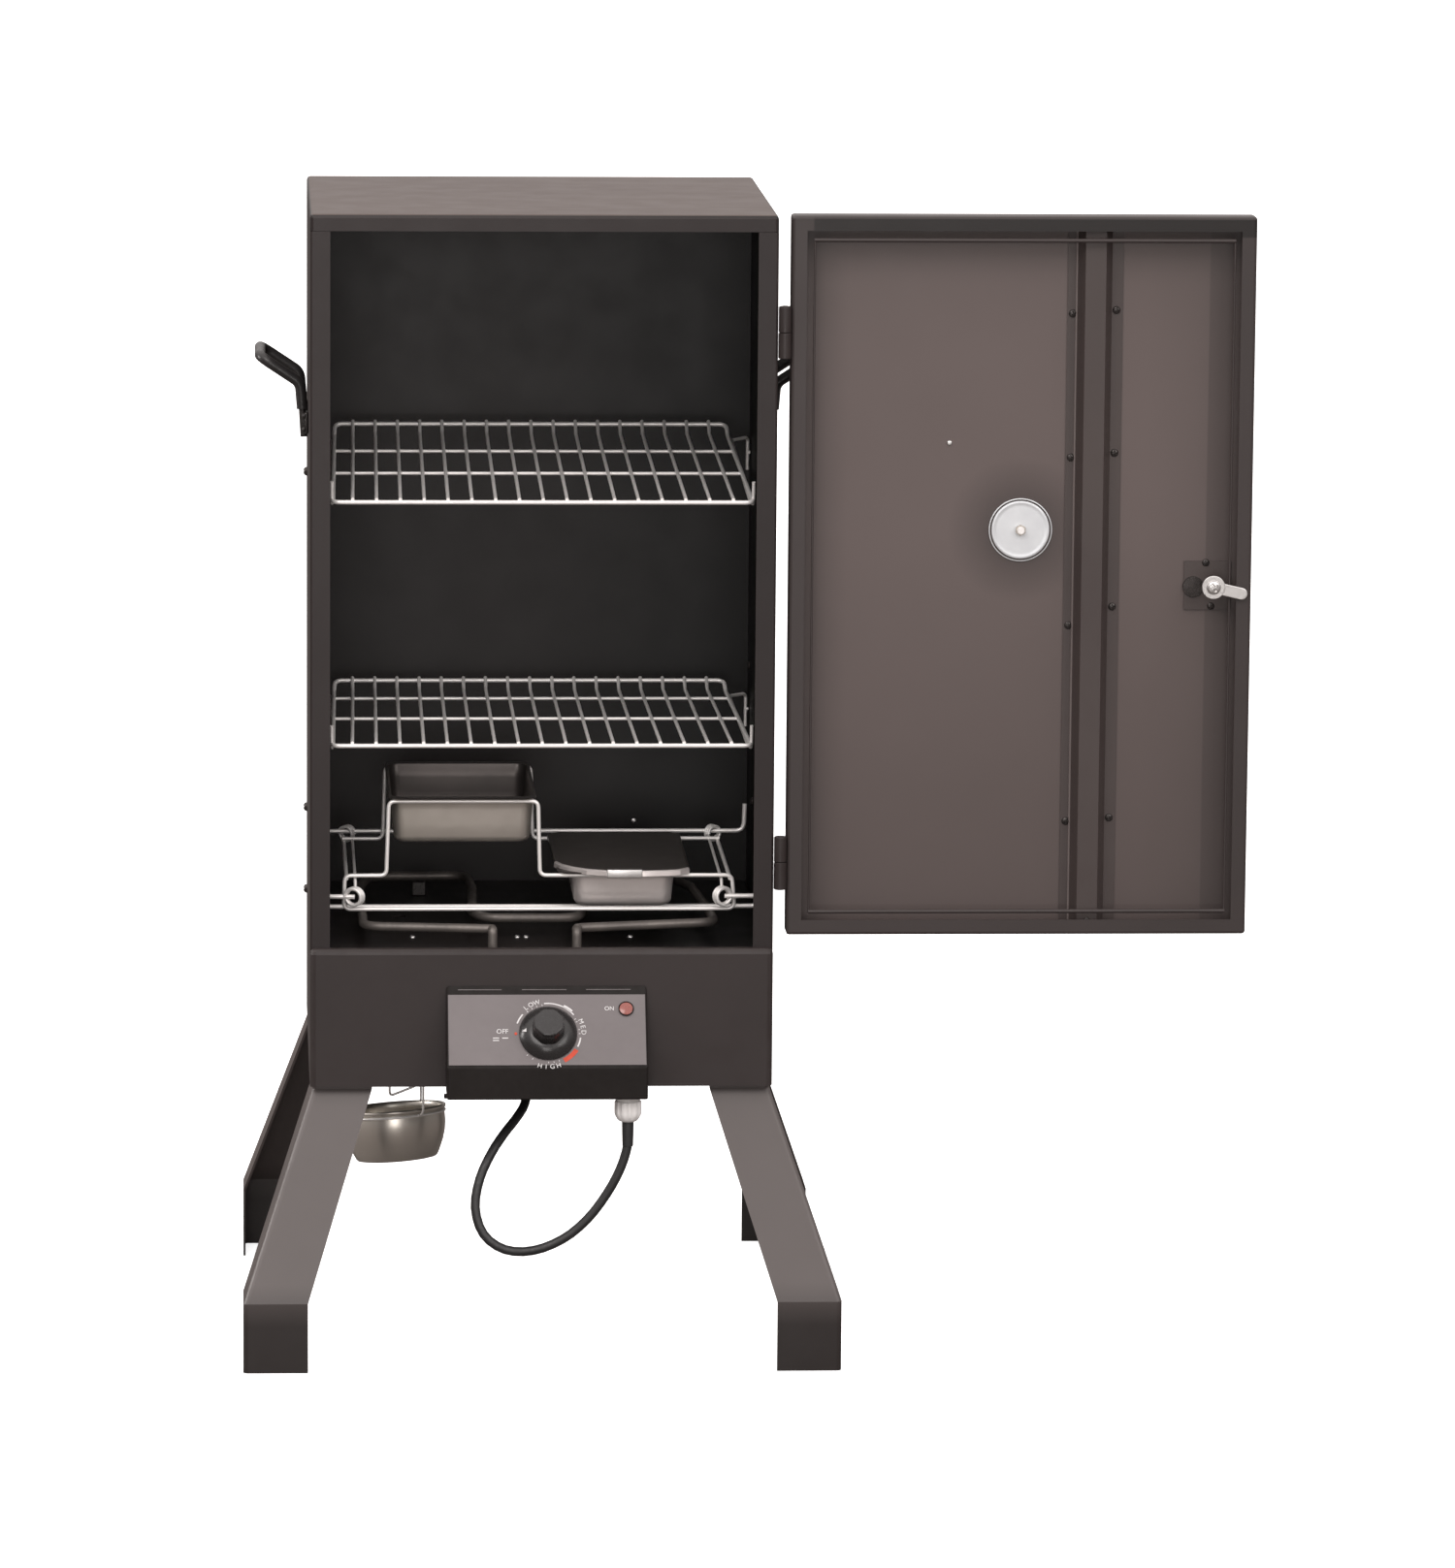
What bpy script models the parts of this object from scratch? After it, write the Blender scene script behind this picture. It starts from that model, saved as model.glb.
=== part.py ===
"""Electric cabinet smoker, door standing fully open. Metres, +Z up, front towards -Y."""

import math

import bmesh
import bpy
from mathutils import Matrix, Vector

# Driving dimensions
WIDTH = 0.392
DEPTH = 0.370
HEIGHT = 0.972
SHEET = 0.0012
SKIRT_LOW = 0.2325
FLOOR_TOP = 0.345
FLANGE = 0.017
TOP_LIP = 0.014
BEND = 0.003
APRON_TOP = 0.351
APRON_OUT = 0.008
DOOR_LOW = 0.361
DOOR_WIDTH = 0.391
DOOR_DEPTH = 0.025
DOOR_RIM = 0.018
HINGE_X = 0.2015
HINGE_Y = -0.1855
PIN_GAP = 0.0055
LEG_KNEE_X = 0.2525
LEG_KNEE_Y = 0.2595
LEG_KNEE_Z = 0.0595
LEG_SHEET = 0.002
WIRE = 0.0015
PAN_WIRE = 0.00175
RACK_TILT = math.radians(3.7)
PIN_Y = -0.1345
PIN_Z = 0.386
CORD_RADIUS = 0.004
FACE_TILT = math.radians(34.7)
GAP = 0.0003

HALF_W = WIDTH / 2
HALF_D = DEPTH / 2
FRONT = -HALF_D
WALL_TOP = HEIGHT - TOP_LIP - GAP
WALL_IN = HALF_W - SHEET
DOOR_FAR = HINGE_X + PIN_GAP + DOOR_WIDTH
# The lower corner box runs from the left feet to the door's far edge, so its middle is the frame's middle.
CENTRE_X = -(DOOR_FAR - LEG_KNEE_X) / 2

MATERIALS = {
    "black_enamel": ((0.028, 0.023, 0.022), 0.42, 0.0),
    "black_plastic": ((0.012, 0.012, 0.013), 0.25, 0.0),
    "control_face": ((0.14, 0.12, 0.12), 0.5, 0.0),
    "chrome_wire": ((0.62, 0.61, 0.60), 0.18, 1.0),
    "plain_steel": ((0.48, 0.47, 0.46), 0.32, 1.0),
    "element_alloy": ((0.10, 0.095, 0.09), 0.45, 1.0),
    "white_nylon": ((0.80, 0.80, 0.78), 0.4, 0.0),
    "cord_rubber": ((0.015, 0.015, 0.015), 0.55, 0.0),
    "lamp_red": ((0.55, 0.03, 0.015), 0.2, 0.0),
    "dial_glass": ((0.85, 0.87, 0.87), 0.05, 0.0),
    "needle_red": ((0.6, 0.02, 0.02), 0.4, 0.0),
}


def clear_scene():
    for old in list(bpy.data.objects):
        bpy.data.objects.remove(old)


def new_collection(name):
    made = bpy.data.collections.new(name)
    bpy.context.scene.collection.children.link(made)
    return made


clear_scene()
PARTS = new_collection("electric_cabinet_smoker")
CUTTERS = new_collection("cutters")


def material(name):
    found = bpy.data.materials.get(name)
    if found:
        return found
    rgb, rough, metal = MATERIALS[name]
    made = bpy.data.materials.new(name)
    made.use_nodes = True
    shader = made.node_tree.nodes["Principled BSDF"]
    shader.inputs["Base Color"].default_value = (*rgb, 1.0)
    shader.inputs["Roughness"].default_value = rough
    shader.inputs["Metallic"].default_value = metal
    return made


def put(name, data, finish, parent):
    """An object of the model, in its parent's own axes."""
    obj = bpy.data.objects.new(name, data)
    PARTS.objects.link(obj)
    obj.parent = parent
    if finish:
        data.materials.append(material(finish))
    return obj


def empty(name, parent, place):
    obj = bpy.data.objects.new(name, None)
    PARTS.objects.link(obj)
    obj.parent = parent
    obj.location = place
    return obj


def mesh_from(bm, name):
    bmesh.ops.recalc_face_normals(bm, faces=bm.faces)
    mesh = bpy.data.meshes.new(name)
    bm.to_mesh(mesh)
    bm.free()
    return mesh


def box_mesh(name, low, high, without=""):
    """A box from its two corners, less the sides named: x X y Y z Z, small letter for the low side."""
    bm = bmesh.new()
    size = [b - a for a, b in zip(low, high)]
    middle = [(a + b) / 2 for a, b in zip(low, high)]
    bmesh.ops.create_cube(bm, size=1.0, matrix=Matrix.Translation(middle) @ Matrix.Diagonal((*size, 1.0)))
    bm.normal_update()
    for letter in without:
        axis = "xyz".index(letter.lower())
        sign = 1 if letter.isupper() else -1
        bmesh.ops.delete(bm, geom=[f for f in bm.faces if f.normal[axis] * sign > 0.9], context="FACES_ONLY")
    if without:
        mesh = bpy.data.meshes.new(name)
        bm.to_mesh(mesh)
        bm.free()
        return mesh
    return mesh_from(bm, name)


def bevel(obj, width, segments=2, angle=30):
    mod = obj.modifiers.new("bevel", "BEVEL")
    mod.width = width
    mod.segments = segments
    mod.limit_method = "ANGLE"
    mod.angle_limit = math.radians(angle)
    return obj


def solidify(obj, thick=SHEET):
    mod = obj.modifiers.new("solidify", "SOLIDIFY")
    mod.thickness = thick
    mod.offset = -1.0
    mod.use_even_offset = True
    return obj


def boolean(obj, other, operation):
    if other.name not in CUTTERS.objects:
        for home in list(other.users_collection):
            home.objects.unlink(other)
        CUTTERS.objects.link(other)
    other.hide_render = True
    other.display_type = "WIRE"
    mod = obj.modifiers.new(operation.lower(), "BOOLEAN")
    mod.operation = operation
    mod.solver = "EXACT"
    mod.object = other
    return obj


def smooth(obj, degrees=40):
    for face in obj.data.polygons:
        face.use_smooth = True
    obj.data.set_sharp_from_angle(angle=math.radians(degrees))
    return obj


def rod_mesh(name, runs, radius, sides=6):
    """Closed round bars along straight runs of points, as one mesh."""
    curve = bpy.data.curves.new(name, "CURVE")
    curve.dimensions = "3D"
    curve.bevel_depth = radius
    curve.bevel_resolution = (sides - 4) // 2
    curve.use_fill_caps = True
    for points in runs:
        closed = points[0] == points[-1]
        kept = points[:-1] if closed else points
        spline = curve.splines.new("POLY")
        spline.points.add(len(kept) - 1)
        for point, place in zip(spline.points, kept):
            point.co = (*place, 1.0)
        spline.use_cyclic_u = closed
    guide = bpy.data.objects.new(name + "_guide", curve)
    PARTS.objects.link(guide)
    bpy.context.view_layer.update()
    mesh = bpy.data.meshes.new_from_object(guide)
    bpy.data.objects.remove(guide)
    bm = bmesh.new()
    bm.from_mesh(mesh)
    bmesh.ops.remove_doubles(bm, verts=bm.verts, dist=0.00001)
    bmesh.ops.recalc_face_normals(bm, faces=bm.faces)
    bm.to_mesh(mesh)
    bm.free()
    return mesh


def fillet(points, radius, steps=3):
    """The same run of points with each inner corner rounded by a short arc."""
    out = [Vector(points[0])]
    for before, here, after in zip(points, points[1:], points[2:]):
        here = Vector(here)
        back = Vector(before) - here
        ahead = Vector(after) - here
        turn = math.pi - back.angle(ahead)
        if turn < 0.02:
            out.append(here)
            continue
        reach = min(radius * math.tan(turn / 2), back.length * 0.48, ahead.length * 0.48)
        start = here + back.normalized() * reach
        end = here + ahead.normalized() * reach
        for step in range(steps + 1):
            t = step / steps
            out.append(start.lerp(here, t).lerp(here.lerp(end, t), t))
    out.append(Vector(points[-1]))
    return [tuple(p) for p in out]


def rods(name, runs, radius, finish, parent, sides=6):
    obj = put(name, rod_mesh(name, runs, radius, sides), finish, parent)
    return smooth(obj, 70)


def helper(name, mesh, parent):
    obj = put(name, mesh, None, parent)
    return obj


def weld(obj, name, runs, radius, sides=6):
    """Joins more bars to obj as one piece of metal."""
    return boolean(obj, helper(name, rod_mesh(name, runs, radius, sides), obj.parent), "UNION")


def cylinder_mesh(name, radius, low, high, sides=24, axis="Z", at=(0, 0)):
    """A plain cylinder along an axis, at (first, second) of the other two axes."""
    turn = {"Z": Matrix.Identity(4), "Y": Matrix.Rotation(math.radians(-90), 4, "X"),
            "X": Matrix.Rotation(math.radians(90), 4, "Y")}[axis]
    middle = (low + high) / 2
    place = {"Z": (at[0], at[1], middle), "Y": (at[0], middle, at[1]), "X": (middle, at[0], at[1])}[axis]
    bm = bmesh.new()
    bmesh.ops.create_cone(bm, cap_ends=True, segments=sides, radius1=radius, radius2=radius,
                          depth=high - low, matrix=Matrix.Translation(place) @ turn)
    return mesh_from(bm, name)


def lathe(name, profile, finish, parent, steps=24):
    """A turned solid about its own Z. The profile lists (radius, height), its outer side from top to bottom."""
    bm = bmesh.new()
    points = [bm.verts.new((radius, 0, height)) for radius, height in profile]
    closed = profile[0][0] > 0
    pairs = zip(points, points[1:] + (points[:1] if closed else []))
    for a, b in pairs:
        bm.edges.new((a, b))
    mesh = bpy.data.meshes.new(name)
    bm.to_mesh(mesh)
    bm.free()
    obj = put(name, mesh, finish, parent)
    mod = obj.modifiers.new("screw", "SCREW")
    mod.steps = steps
    mod.render_steps = steps
    mod.use_merge_vertices = True
    mod.merge_threshold = 0.00005
    mod.use_smooth_shade = False
    return obj


def loft(name, sections, finish, parent, thick=None, close=False, cap=False):
    """A sheet or solid drawn through sections of equal point count."""
    bm = bmesh.new()
    grid = [[bm.verts.new(p) for p in row] for row in sections]
    count = len(grid[0])
    for low, high in zip(grid, grid[1:]):
        for i in range(count if close else count - 1):
            j = (i + 1) % count
            bm.faces.new((low[i], low[j], high[j], high[i]))
    if cap:
        bm.faces.new(grid[-1])
    bm.normal_update()
    mesh = bpy.data.meshes.new(name)
    bm.to_mesh(mesh)
    bm.free()
    obj = put(name, mesh, finish, parent)
    if thick:
        solidify(obj, thick)
    return obj


def cut_round(obj, name, radius, low, high, axis, at, sides=16):
    return boolean(obj, helper(name, cylinder_mesh(name, radius, low, high, sides, axis, at), obj.parent),
                   "DIFFERENCE")


def rounded_rect(x0, x1, y0, y1, radius, z, steps=3):
    """Corner-rounded outline, anticlockwise seen from above."""
    out = []
    corners = ((x1, y0, -90), (x1, y1, 0), (x0, y1, 90), (x0, y0, 180))
    for x, y, first in corners:
        cx = x - radius if x == x1 else x + radius
        cy = y - radius if y == y1 else y + radius
        for step in range(steps + 1):
            angle = math.radians(first + 90 * step / steps)
            out.append((cx + radius * math.cos(angle), cy + radius * math.sin(angle), z))
    return out


def tray(name, rim, body, z_rim, z_low, finish, parent, corner=0.010, draft=0.003, thick=0.001):
    """A pressed open tray: a flat rim, drafted walls and a flat bottom. Boxes are (x0, x1, y0, y1)."""
    x0, x1, y0, y1 = body
    foot = (x0 + draft, x1 - draft, y0 + draft, y1 - draft)
    low = (x0 + draft + 0.004, x1 - draft - 0.004, y0 + draft + 0.004, y1 - draft - 0.004)
    sections = [
        rounded_rect(*rim, corner, z_rim),
        rounded_rect(*body, corner * 0.8, z_rim),
        rounded_rect(*foot, corner * 0.7, z_low + 0.003),
        rounded_rect(*low, corner * 0.5, z_low),
    ]
    return loft(name, sections, finish, parent, thick=thick, close=True, cap=True)


ROOT = empty("smoker_axes", None, (CENTRE_X, 0, 0))


# Cabinet shell

def make_top_panel():
    obj = put("top_panel", box_mesh("top_panel", (-HALF_W, FRONT, HEIGHT - TOP_LIP), (HALF_W, HALF_D, HEIGHT), "z"),
              "black_enamel", ROOT)
    bevel(obj, BEND)
    solidify(obj)


def make_side_panel(name, side):
    """A wall with a flange turned in along its front edge, and the pin that the pan frame hooks on."""
    low = (min(side * HALF_W, side * (HALF_W - FLANGE)), FRONT, SKIRT_LOW)
    high = (max(side * HALF_W, side * (HALF_W - FLANGE)), HALF_D - SHEET - GAP, WALL_TOP)
    drop = "YzZ" + ("X" if side < 0 else "x")
    obj = put(name, box_mesh(name, low, high, drop), "black_enamel", ROOT)
    bevel(obj, 0.002)
    solidify(obj)
    pin = [(side * (WALL_IN + SHEET / 2), PIN_Y, PIN_Z), (side * 0.1590, PIN_Y, PIN_Z)]
    weld(obj, name + "_pin", [pin], 0.0018)


def make_back_panel():
    put("back_panel", box_mesh("back_panel", (-HALF_W, HALF_D - SHEET, SKIRT_LOW), (HALF_W, HALF_D, WALL_TOP)),
        "black_enamel", ROOT)


def make_floor_pan():
    reach = WALL_IN - GAP
    obj = put("floor_pan", box_mesh("floor_pan", (-reach, -reach + 0.011, FLOOR_TOP - 0.015),
                                    (reach, HALF_D - SHEET - GAP, FLOOR_TOP), "z"), "black_enamel", ROOT)
    bevel(obj, 0.002)
    solidify(obj)
    cut_round(obj, "drain_cut", 0.006, FLOOR_TOP - 0.01, FLOOR_TOP + 0.01, "Z", (-0.117, 0.0))
    for index, (x, y) in enumerate(ELEMENT_ENDS):
        cut_round(obj, "element_cut_%d" % index, 0.0046, FLOOR_TOP - 0.01, FLOOR_TOP + 0.01, "Z", (x, y))


def make_front_apron():
    obj = put("front_apron", box_mesh("front_apron", (-HALF_W, FRONT - APRON_OUT, SKIRT_LOW),
                                      (HALF_W, FRONT - 0.0005, APRON_TOP), "Yz"), "black_enamel", ROOT)
    bevel(obj, 0.005, 3)
    solidify(obj)


# Legs

LEG_SECTIONS = (
    (0.300, HALF_W - 0.0019, HALF_D - 0.0017, 0.0509),
    (0.229, HALF_W - 0.0019, HALF_D - 0.0017, 0.0509),
    (LEG_KNEE_Z, LEG_KNEE_X, LEG_KNEE_Y, 0.0545),
    (0.0, LEG_KNEE_X, LEG_KNEE_Y, 0.0545),
)


def make_leg(name, sx, sy):
    """An angle-section leg that drops from the skirt's corner, splays to a knee and stands straight."""
    sections = []
    radius = 0.004
    for z, cx, cy, face in LEG_SECTIONS:
        row = [(sx * (cx - face), sy * cy, z)]
        for step in range(4):
            angle = math.radians(90 - 30 * step)
            row.append((sx * (cx - radius + radius * math.cos(angle)), sy * (cy - radius + radius * math.sin(angle)), z))
        row.append((sx * cx, sy * (cy - face), z))
        sections.append(row[::-1] if sx * sy > 0 else row)
    loft(name, sections[::-1], "black_enamel", ROOT, thick=LEG_SHEET)


# Handles

def make_handle(side, word):
    """A bent rod with flattened ends on the wall and a black sleeve over it."""
    def run(reach, low):
        path = [(0.2020, reach, 0.7700), (0.2030, reach, 0.7800)] if low else [(0.2052, reach, 0.7870)]
        path += [(0.2125, reach, 0.8200), (0.2370, reach, 0.8520)]
        return path

    def whole(low):
        front = run(-0.060, low)
        back = run(0.060, low)[::-1]
        points = [(side * x, y, z) for x, y, z in front + back]
        return fillet(points, 0.012, 2)

    rod = rods(word + "_handle_rod", [whole(True)], 0.0030, "plain_steel", ROOT)
    for index, y in enumerate((-0.060, 0.060)):
        low = (min(side * 0.1964, side * 0.2032), y - 0.006, 0.762)
        high = (max(side * 0.1964, side * 0.2032), y + 0.006, 0.781)
        pad = helper("%s_pad_%d" % (word, index), box_mesh("pad", low, high), ROOT)
        boolean(rod, pad, "UNION")
    grip = rods(word + "_handle_grip", [whole(False)], 0.0052, "black_plastic", ROOT, 6)
    core = helper(word + "_grip_core", rod_mesh("core", [whole(True)], 0.0034, 6), ROOT)
    boolean(grip, core, "DIFFERENCE")


# Racks and what holds them

RACK_HALF = 0.1765
RACK_FRONT = -0.175
RACK_DEEP = 0.320
RACK_RISE = 0.0085
FRAME_WIRE = 0.0019


def make_rack(name, place, tilt, crossings):
    """A wire rack in its own axes: front bar at y=0, side bars running back, raised back bar, main wires on top."""
    hub = empty(name + "_axes", ROOT, place)
    hub.rotation_euler = (tilt, 0, 0)
    kink = RACK_DEEP - 0.015
    over = 0.0024
    wires = []
    for index in range(17):
        x = -0.160 + 0.020 * index
        back = x * 0.975
        wires.append([(x, -0.0004, over), (back, kink, over), (back, RACK_DEEP, RACK_RISE + over)])
    obj = rods(name, wires, WIRE, "chrome_wire", hub)
    back_half = RACK_HALF - 0.005
    loop = [(0, 0, 0), (RACK_HALF, 0, 0), (back_half + 0.001, kink, 0), (back_half, RACK_DEEP - 0.001, RACK_RISE),
            (-back_half, RACK_DEEP - 0.001, RACK_RISE), (-back_half - 0.001, kink, 0), (-RACK_HALF, 0, 0), (0, 0, 0)]
    weld(obj, name + "_frame", [fillet(loop, 0.004, 2)], FRAME_WIRE)
    bars = [[(-RACK_HALF + 0.0035, y, 0), (RACK_HALF - 0.0035, y, 0)] for y in crossings]
    weld(obj, name + "_bars", bars, WIRE)
    return obj


def make_hanger(name, side, place, tilt):
    """A bent wire along the wall: hooked up at the back, turned out and up at the front."""
    hub = empty(name + "_axes", ROOT, place)
    hub.rotation_euler = (tilt, 0, 0)
    z = -WIRE - FRAME_WIRE - 0.0006
    path = [(side * 0.1912, 0.327, 0.030), (side * 0.1912, 0.327, z), (side * 0.1758, 0.309, z),
            (side * 0.1758, 0.030, z), (side * 0.1885, 0.016, z), (side * 0.1885, 0.012, 0.014)]
    rods(name, [fillet(path, 0.006, 2)], WIRE, "chrome_wire", hub)


# Pan frame, pans and element

LOW_Z = 0.403
HIGH_Z = 0.467
FRAME_FRONT = -0.128
FRAME_BACK = 0.062


def ring_run(x, y, z, radius, sides=10):
    out = []
    for step in range(sides + 1):
        angle = 2 * math.pi * (step % sides) / sides
        out.append((x, y + radius * math.cos(angle), z + radius * math.sin(angle)))
    return out


def make_pan_frame():
    """One welded wire frame: a stepped loop in front, a stepped wire behind, side bars with eyes."""
    front = [(-0.164, FRAME_FRONT, 0.374), (-0.166, FRAME_FRONT, LOW_Z), (-0.134, FRAME_FRONT, LOW_Z),
             (-0.130, FRAME_FRONT, HIGH_Z), (-0.004, FRAME_FRONT, HIGH_Z), (0.000, FRAME_FRONT, LOW_Z),
             (0.163, FRAME_FRONT, LOW_Z), (0.161, FRAME_FRONT, 0.374)]
    rounded = fillet(front, 0.004, 2)
    obj = rods("pan_frame", [rounded + [rounded[0]]], PAN_WIRE, "chrome_wire", ROOT)
    back = [(x, FRAME_BACK, z) for x, y, z in front[1:7]]
    weld(obj, "frame_back", [fillet(back, 0.004, 2)], PAN_WIRE)
    sides = [[(x, FRAME_FRONT - 0.001, LOW_Z - 0.0026), (x, 0.0900, LOW_Z - 0.0026)] for x in (-0.161, 0.158)]
    weld(obj, "frame_sides", sides, PAN_WIRE)
    eyes = [ring_run(x, 0.0904, 0.4050, 0.0045) for x in (-0.161, 0.158)]
    weld(obj, "frame_eyes", eyes, 0.0014)
    front_eyes = [ring_run(x, PIN_Y, PIN_Z, 0.0047) for x in (-0.1650, 0.1620)]
    weld(obj, "frame_front_eyes", front_eyes, 0.0014)


def make_support_rods():
    back = fillet([(-0.1943, 0.090, 0.405), (0.176, 0.090, 0.405), (0.1905, 0.090, 0.430)], 0.010)
    rods("rear_support_rod", [back], 0.0022, "chrome_wire", ROOT)
    low = fillet([(-0.1943, -0.090, 0.3695), (0.176, -0.090, 0.3695), (0.1905, -0.090, 0.392)], 0.010)
    rods("lower_support_rod", [low], 0.0022, "chrome_wire", ROOT)


def make_water_pan():
    tray("water_pan", (-0.1290, -0.0030, -0.1345, 0.0685), (-0.1260, -0.0060, -0.1220, 0.0560), 0.4702, 0.431,
         "plain_steel", ROOT)


def make_chip_tray():
    tray("chip_tray", (0.0150, 0.1290, -0.1345, 0.0685), (0.0280, 0.1150, -0.1200, 0.0500), 0.4062, 0.3755,
         "plain_steel", ROOT)


def make_chip_lid():
    """A bowed-front cover plate with a turned-down edge and a pull tab."""
    z = 0.4092
    arc = []
    for step in range(9):
        x = 0.008 + 0.124 * step / 8
        arc.append((x, -0.146 + 0.040 * ((x - 0.070) / 0.062) ** 2, z))
    outline = arc + [(0.132, 0.063, z), (0.008, 0.063, z)]
    down = [(x, y, z - 0.0015) for x, y, _ in outline]
    bm = bmesh.new()
    top = [bm.verts.new(p) for p in outline]
    low = [bm.verts.new(p) for p in down]
    bm.faces.new(top)
    for i in range(len(top)):
        j = (i + 1) % len(top)
        bm.faces.new((low[i], low[j], top[j], top[i]))
    bm.faces.new(low[::-1])
    obj = put("chip_lid", mesh_from(bm, "chip_lid"), "black_enamel", ROOT)
    lip = helper("lid_lip", box_mesh("lid_lip", (0.061, -0.1475, z - 0.0010), (0.0925, -0.140, z + 0.004)), ROOT)
    boolean(obj, lip, "UNION")


ELEMENT_ENDS = ((-0.041, -0.165), (0.0305, -0.165))


def make_element():
    z = 0.362
    plan = [(-0.041, -0.1575), (-0.1295, -0.1414), (-0.1469, -0.0939), (-0.1466, 0.0467), (-0.1398, 0.1064),
            (-0.0570, 0.1106), (-0.0528, 0.0457), (-0.0560, -0.0759), (-0.0460, -0.1046), (0.0328, -0.1055),
            (0.0400, -0.0700), (0.0420, 0.0450), (0.0500, 0.1060), (0.1200, 0.1060), (0.1386, 0.0500),
            (0.1465, -0.0781), (0.1193, -0.1207), (0.0305, -0.1525)]
    first = [(*ELEMENT_ENDS[0], 0.325), (*ELEMENT_ENDS[0], z)]
    last = [(*ELEMENT_ENDS[1], z), (*ELEMENT_ENDS[1], 0.325)]
    path = first + [(x, y, z) for x, y in plan] + last
    rods("heating_element", [fillet(path, 0.014, 2)], 0.004, "element_alloy", ROOT, 6)
    post = put("element_bracket", box_mesh("element_bracket", (-0.104, 0.1020, FLOOR_TOP + GAP), (-0.092, 0.1140, 0.3577)),
               "plain_steel", ROOT)
    bevel(post, 0.0008, 1)


# Drip cup

CUP_X = -0.117
CUP_TOP = 0.1775


def cup_hub(name):
    hub = empty(name, ROOT, (CUP_X, 0.0, CUP_TOP))
    hub.rotation_euler = (0, math.radians(-4.5), 0)
    return hub


def make_drip_cup():
    profile = [(0.0, -0.0460), (0.016, -0.0455), (0.026, -0.0400), (0.0335, -0.0240), (0.0362, -0.0040),
               (0.0372, -0.0002), (0.0382, 0.0006), (0.0392, -0.0004), (0.0390, -0.0020), (0.0378, -0.0030),
               (0.0372, -0.0045), (0.0343, -0.0245), (0.0268, -0.0406), (0.0165, -0.0466), (0.0, -0.0472)]
    lathe("drip_cup", profile, "plain_steel", cup_hub("cup_axes"), 16)


def make_cup_hanger():
    hub = cup_hub("cup_hanger_axes")
    ring = []
    for step in range(17):
        angle = 2 * math.pi * (step % 16) / 16
        ring.append((0.0392 * math.cos(angle), 0.0392 * math.sin(angle), -0.0074))
    obj = rods("drip_cup_hanger", [ring], 0.0013, "chrome_wire", hub)
    legs = []
    tilt = Matrix.Rotation(math.radians(4.5), 4, "Y")
    for degrees in (-61, 61, 180):
        c = math.cos(math.radians(degrees))
        s = math.sin(math.radians(degrees))
        foot = Vector((0.0437 * c, 0.0437 * s, 0.0040))
        top = tilt @ Vector((0.040 * c, 0.040 * s, FLOOR_TOP - SHEET - 0.0004 - CUP_TOP))
        legs.append(fillet([(0.0389 * c, 0.0389 * s, -0.0078), (0.0430 * c, 0.0430 * s, -0.0060), tuple(foot), tuple(top)],
                           0.003, 2))
    weld(obj, "cup_legs", legs, 0.0013)


# Control box

SLOPE_HIGH = (-0.1972, 0.3135)
SLOPE_T = (math.sin(FACE_TILT), math.cos(FACE_TILT))
SLOPE_LENGTH = 0.0681
SLOPE_LOW = (SLOPE_HIGH[0] - SLOPE_LENGTH * SLOPE_T[0], SLOPE_HIGH[1] - SLOPE_LENGTH * SLOPE_T[1])
BOX_X = (-0.081, 0.0885)
BOX_LOW = 0.2295
KNOB_X = 0.0045
LAMP_X = 0.0708
GLAND_X = 0.0725
GLAND_Y = -0.215


def slope_hub(name, x, along):
    """Axes on the sloping face: x across, y up the slope, z straight out. along is measured from its middle."""
    y = (SLOPE_HIGH[0] + SLOPE_LOW[0]) / 2 + along * SLOPE_T[0]
    z = (SLOPE_HIGH[1] + SLOPE_LOW[1]) / 2 + along * SLOPE_T[1]
    hub = empty(name, ROOT, (x, y, z))
    hub.rotation_euler = (math.radians(90) - FACE_TILT, 0, 0)
    return hub


def make_control_box():
    """A folded housing, open at the back, with its face sloping forward and down."""
    back = FRONT - APRON_OUT - GAP
    outline = [(back - 0.0016, SLOPE_HIGH[1] + 0.006), SLOPE_HIGH, SLOPE_LOW, (SLOPE_LOW[0] - 0.0010, BOX_LOW), (back, BOX_LOW)]
    bm = bmesh.new()
    left = [bm.verts.new((BOX_X[0], y, z)) for y, z in outline]
    right = [bm.verts.new((BOX_X[1], y, z)) for y, z in outline]
    for i in range(4):
        bm.faces.new((left[i], left[i + 1], right[i + 1], right[i]))
    bm.faces.new(left[::-1])
    bm.faces.new(right)
    bm.normal_update()
    mesh = bpy.data.meshes.new("control_box")
    bm.to_mesh(mesh)
    bm.free()
    obj = put("control_box", mesh, "black_plastic", ROOT)
    bevel(obj, 0.0015, 2)
    solidify(obj, 0.0015)
    for name, x, along, radius in (("knob_cut", KNOB_X, KNOB_ALONG, 0.0045), ("lamp_cut", LAMP_X, LAMP_ALONG, 0.0048)):
        hole = helper(name, cylinder_mesh(name, radius, -0.008, 0.008, 16), slope_hub(name + "_axes", x, along))
        boolean(obj, hole, "DIFFERENCE")
    cut_round(obj, "gland_cut", 0.0080, BOX_LOW - 0.005, BOX_LOW + 0.005, "Z", (GLAND_X, GLAND_Y))


KNOB_ALONG = -0.0036
LAMP_ALONG = 0.0190


def make_label_plate():
    hub = slope_hub("label_axes", 0.0, 0.0)
    obj = put("label_plate", box_mesh("label_plate", (-0.0795, -0.0325, GAP), (0.0870, 0.0325, 0.0009)), "control_face", hub)
    for name, x, along, radius in (("label_knob_cut", KNOB_X, KNOB_ALONG, 0.0055), ("label_lamp_cut", LAMP_X, LAMP_ALONG, 0.0052)):
        cut_round(obj, name, radius, -0.004, 0.004, "Z", (x, along))


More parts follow.
